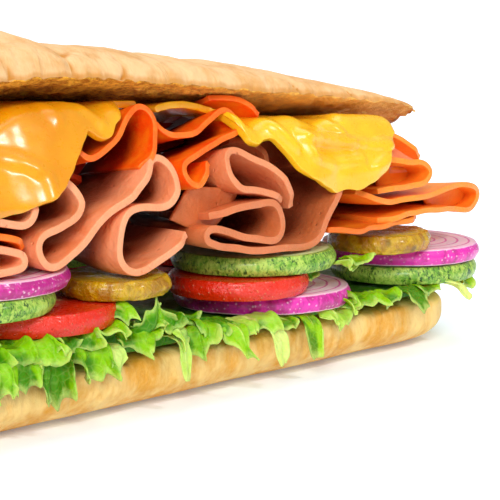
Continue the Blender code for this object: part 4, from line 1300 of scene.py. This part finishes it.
class SANDWICH_OT_meat(bpy.types.Operator):
    """Builds the folded ham and pepperoni"""

    bl_idname = "sandwich.meat"
    bl_label = "Folded meat"

    def execute(self, context):
        look = looks(context, "sandwich_meat")
        draws = random.Random(SEED + 2)
        ham, pepperoni = ham_finish(look), pepperoni_finish(look)
        for fold in HAM_FOLDS:
            folded_slice(fold, ham, look.ham_thickness, HAM_RUFFLE, draws)
        for fold in PEPPERONI_FOLDS + SMALL_FOLDS:
            folded_slice(fold, pepperoni, look.pepperoni_thickness, PEPPERONI_RUFFLE, draws)
        deep_meat({"ham": ham, "pepperoni": pepperoni},
                  {"ham": look.ham_thickness, "pepperoni": look.pepperoni_thickness})
        return {"FINISHED"}


class SANDWICH_OT_cheese(bpy.types.Operator):
    """Builds the cheese slices that hang over the meat"""

    bl_idname = "sandwich.cheese"
    bl_label = "Cheese"

    def execute(self, context):
        look = looks(context, "sandwich_meat")
        material = cheese_finish(look)
        draws = random.Random(SEED + 3)
        for cheese in CHEESES:
            cheese_slice(cheese, material, look.cheese_thickness, draws)
        return {"FINISHED"}


def soft_sun(name, strength, towards, spread):
    """A light from one direction, so wide that its shadows are soft."""
    lamp = bpy.data.lights.new(name, "SUN")
    lamp.energy = strength
    lamp.angle = math.radians(spread)
    made = bpy.data.objects.new(name, lamp)
    made.rotation_euler = Vector(towards).to_track_quat("Z", "Y").to_euler()
    bpy.context.scene.collection.objects.link(made)


class SANDWICH_OT_stage(bpy.types.Operator):
    """Builds the floor, the lights and the camera"""

    bl_idname = "sandwich.stage"
    bl_label = "Stage"

    def execute(self, context):
        look = looks(context, "sandwich_stage")
        bm = bmesh.new()
        bmesh.ops.create_grid(bm, x_segments=1, y_segments=1, size=FLOOR_REACH)
        mesh = bpy.data.meshes.new("floor")
        bm.to_mesh(mesh)
        bm.free()
        mesh.materials.append(Finish("floor", Base_Color=look.floor, Roughness=0.9, Emission_Color=look.floor,
                                     Emission_Strength=look.floor_glow).material)
        floor = bpy.data.objects.new("floor", mesh)
        context.scene.collection.objects.link(floor)
        world = bpy.data.worlds.new("surround")
        world.use_nodes = True
        background = world.node_tree.nodes["Background"]
        background.inputs["Color"].default_value = (1.0, 1.0, 1.0, 1.0)
        background.inputs["Strength"].default_value = look.surround
        context.scene.world = world
        soft_sun("main_light", look.key, *MAIN_LIGHT)
        soft_sun("glint", look.glint, *GLINT_LIGHT)
        soft_sun("top_light", look.top, *TOP_LIGHT)
        lens = bpy.data.cameras.new("camera")
        lens.lens = look.lens
        lens.clip_start = 0.01
        lens.clip_end = 100.0
        camera = bpy.data.objects.new("camera", lens)
        camera.location = CAMERA_PLACE
        camera.rotation_euler = [math.radians(turn) for turn in CAMERA_TURN]
        context.scene.collection.objects.link(camera)
        context.scene.camera = camera
        context.scene.view_settings.view_transform = "Standard"
        return {"FINISHED"}


BUILDERS = (
    SANDWICH_OT_bread, SANDWICH_OT_lettuce, SANDWICH_OT_salad, SANDWICH_OT_meat, SANDWICH_OT_cheese,
    SANDWICH_OT_stage)
SETTINGS = {"sandwich_bread": BreadLooks, "sandwich_salad": SaladLooks, "sandwich_meat": MeatLooks,
            "sandwich_stage": StageLooks}


class SANDWICH_PT_build(bpy.types.Panel):
    """Lists the sandwich's pieces"""

    bl_label = "Submarine sandwich"
    bl_space_type = "VIEW_3D"
    bl_region_type = "UI"
    bl_category = "Sandwich"

    def draw(self, context):
        for group in SETTINGS:
            box = self.layout.box()
            for key in getattr(context.scene, group).bl_rna.properties.keys():
                if key not in ("rna_type", "name"):
                    box.prop(getattr(context.scene, group), key)
        for builder in BUILDERS:
            self.layout.operator(builder.bl_idname)


def register():
    for group, settings in SETTINGS.items():
        bpy.utils.register_class(settings)
        setattr(bpy.types.Scene, group, PointerProperty(type=settings))
    for made in (*BUILDERS, SANDWICH_PT_build):
        bpy.utils.register_class(made)


def unregister():
    for made in (SANDWICH_PT_build, *reversed(BUILDERS)):
        bpy.utils.unregister_class(made)
    for group, settings in SETTINGS.items():
        delattr(bpy.types.Scene, group)
        bpy.utils.unregister_class(settings)


def main():
    register()
    for builder in BUILDERS:
        group, name = builder.bl_idname.split(".")
        getattr(getattr(bpy.ops, group), name)()


if __name__ == "__main__":
    main()
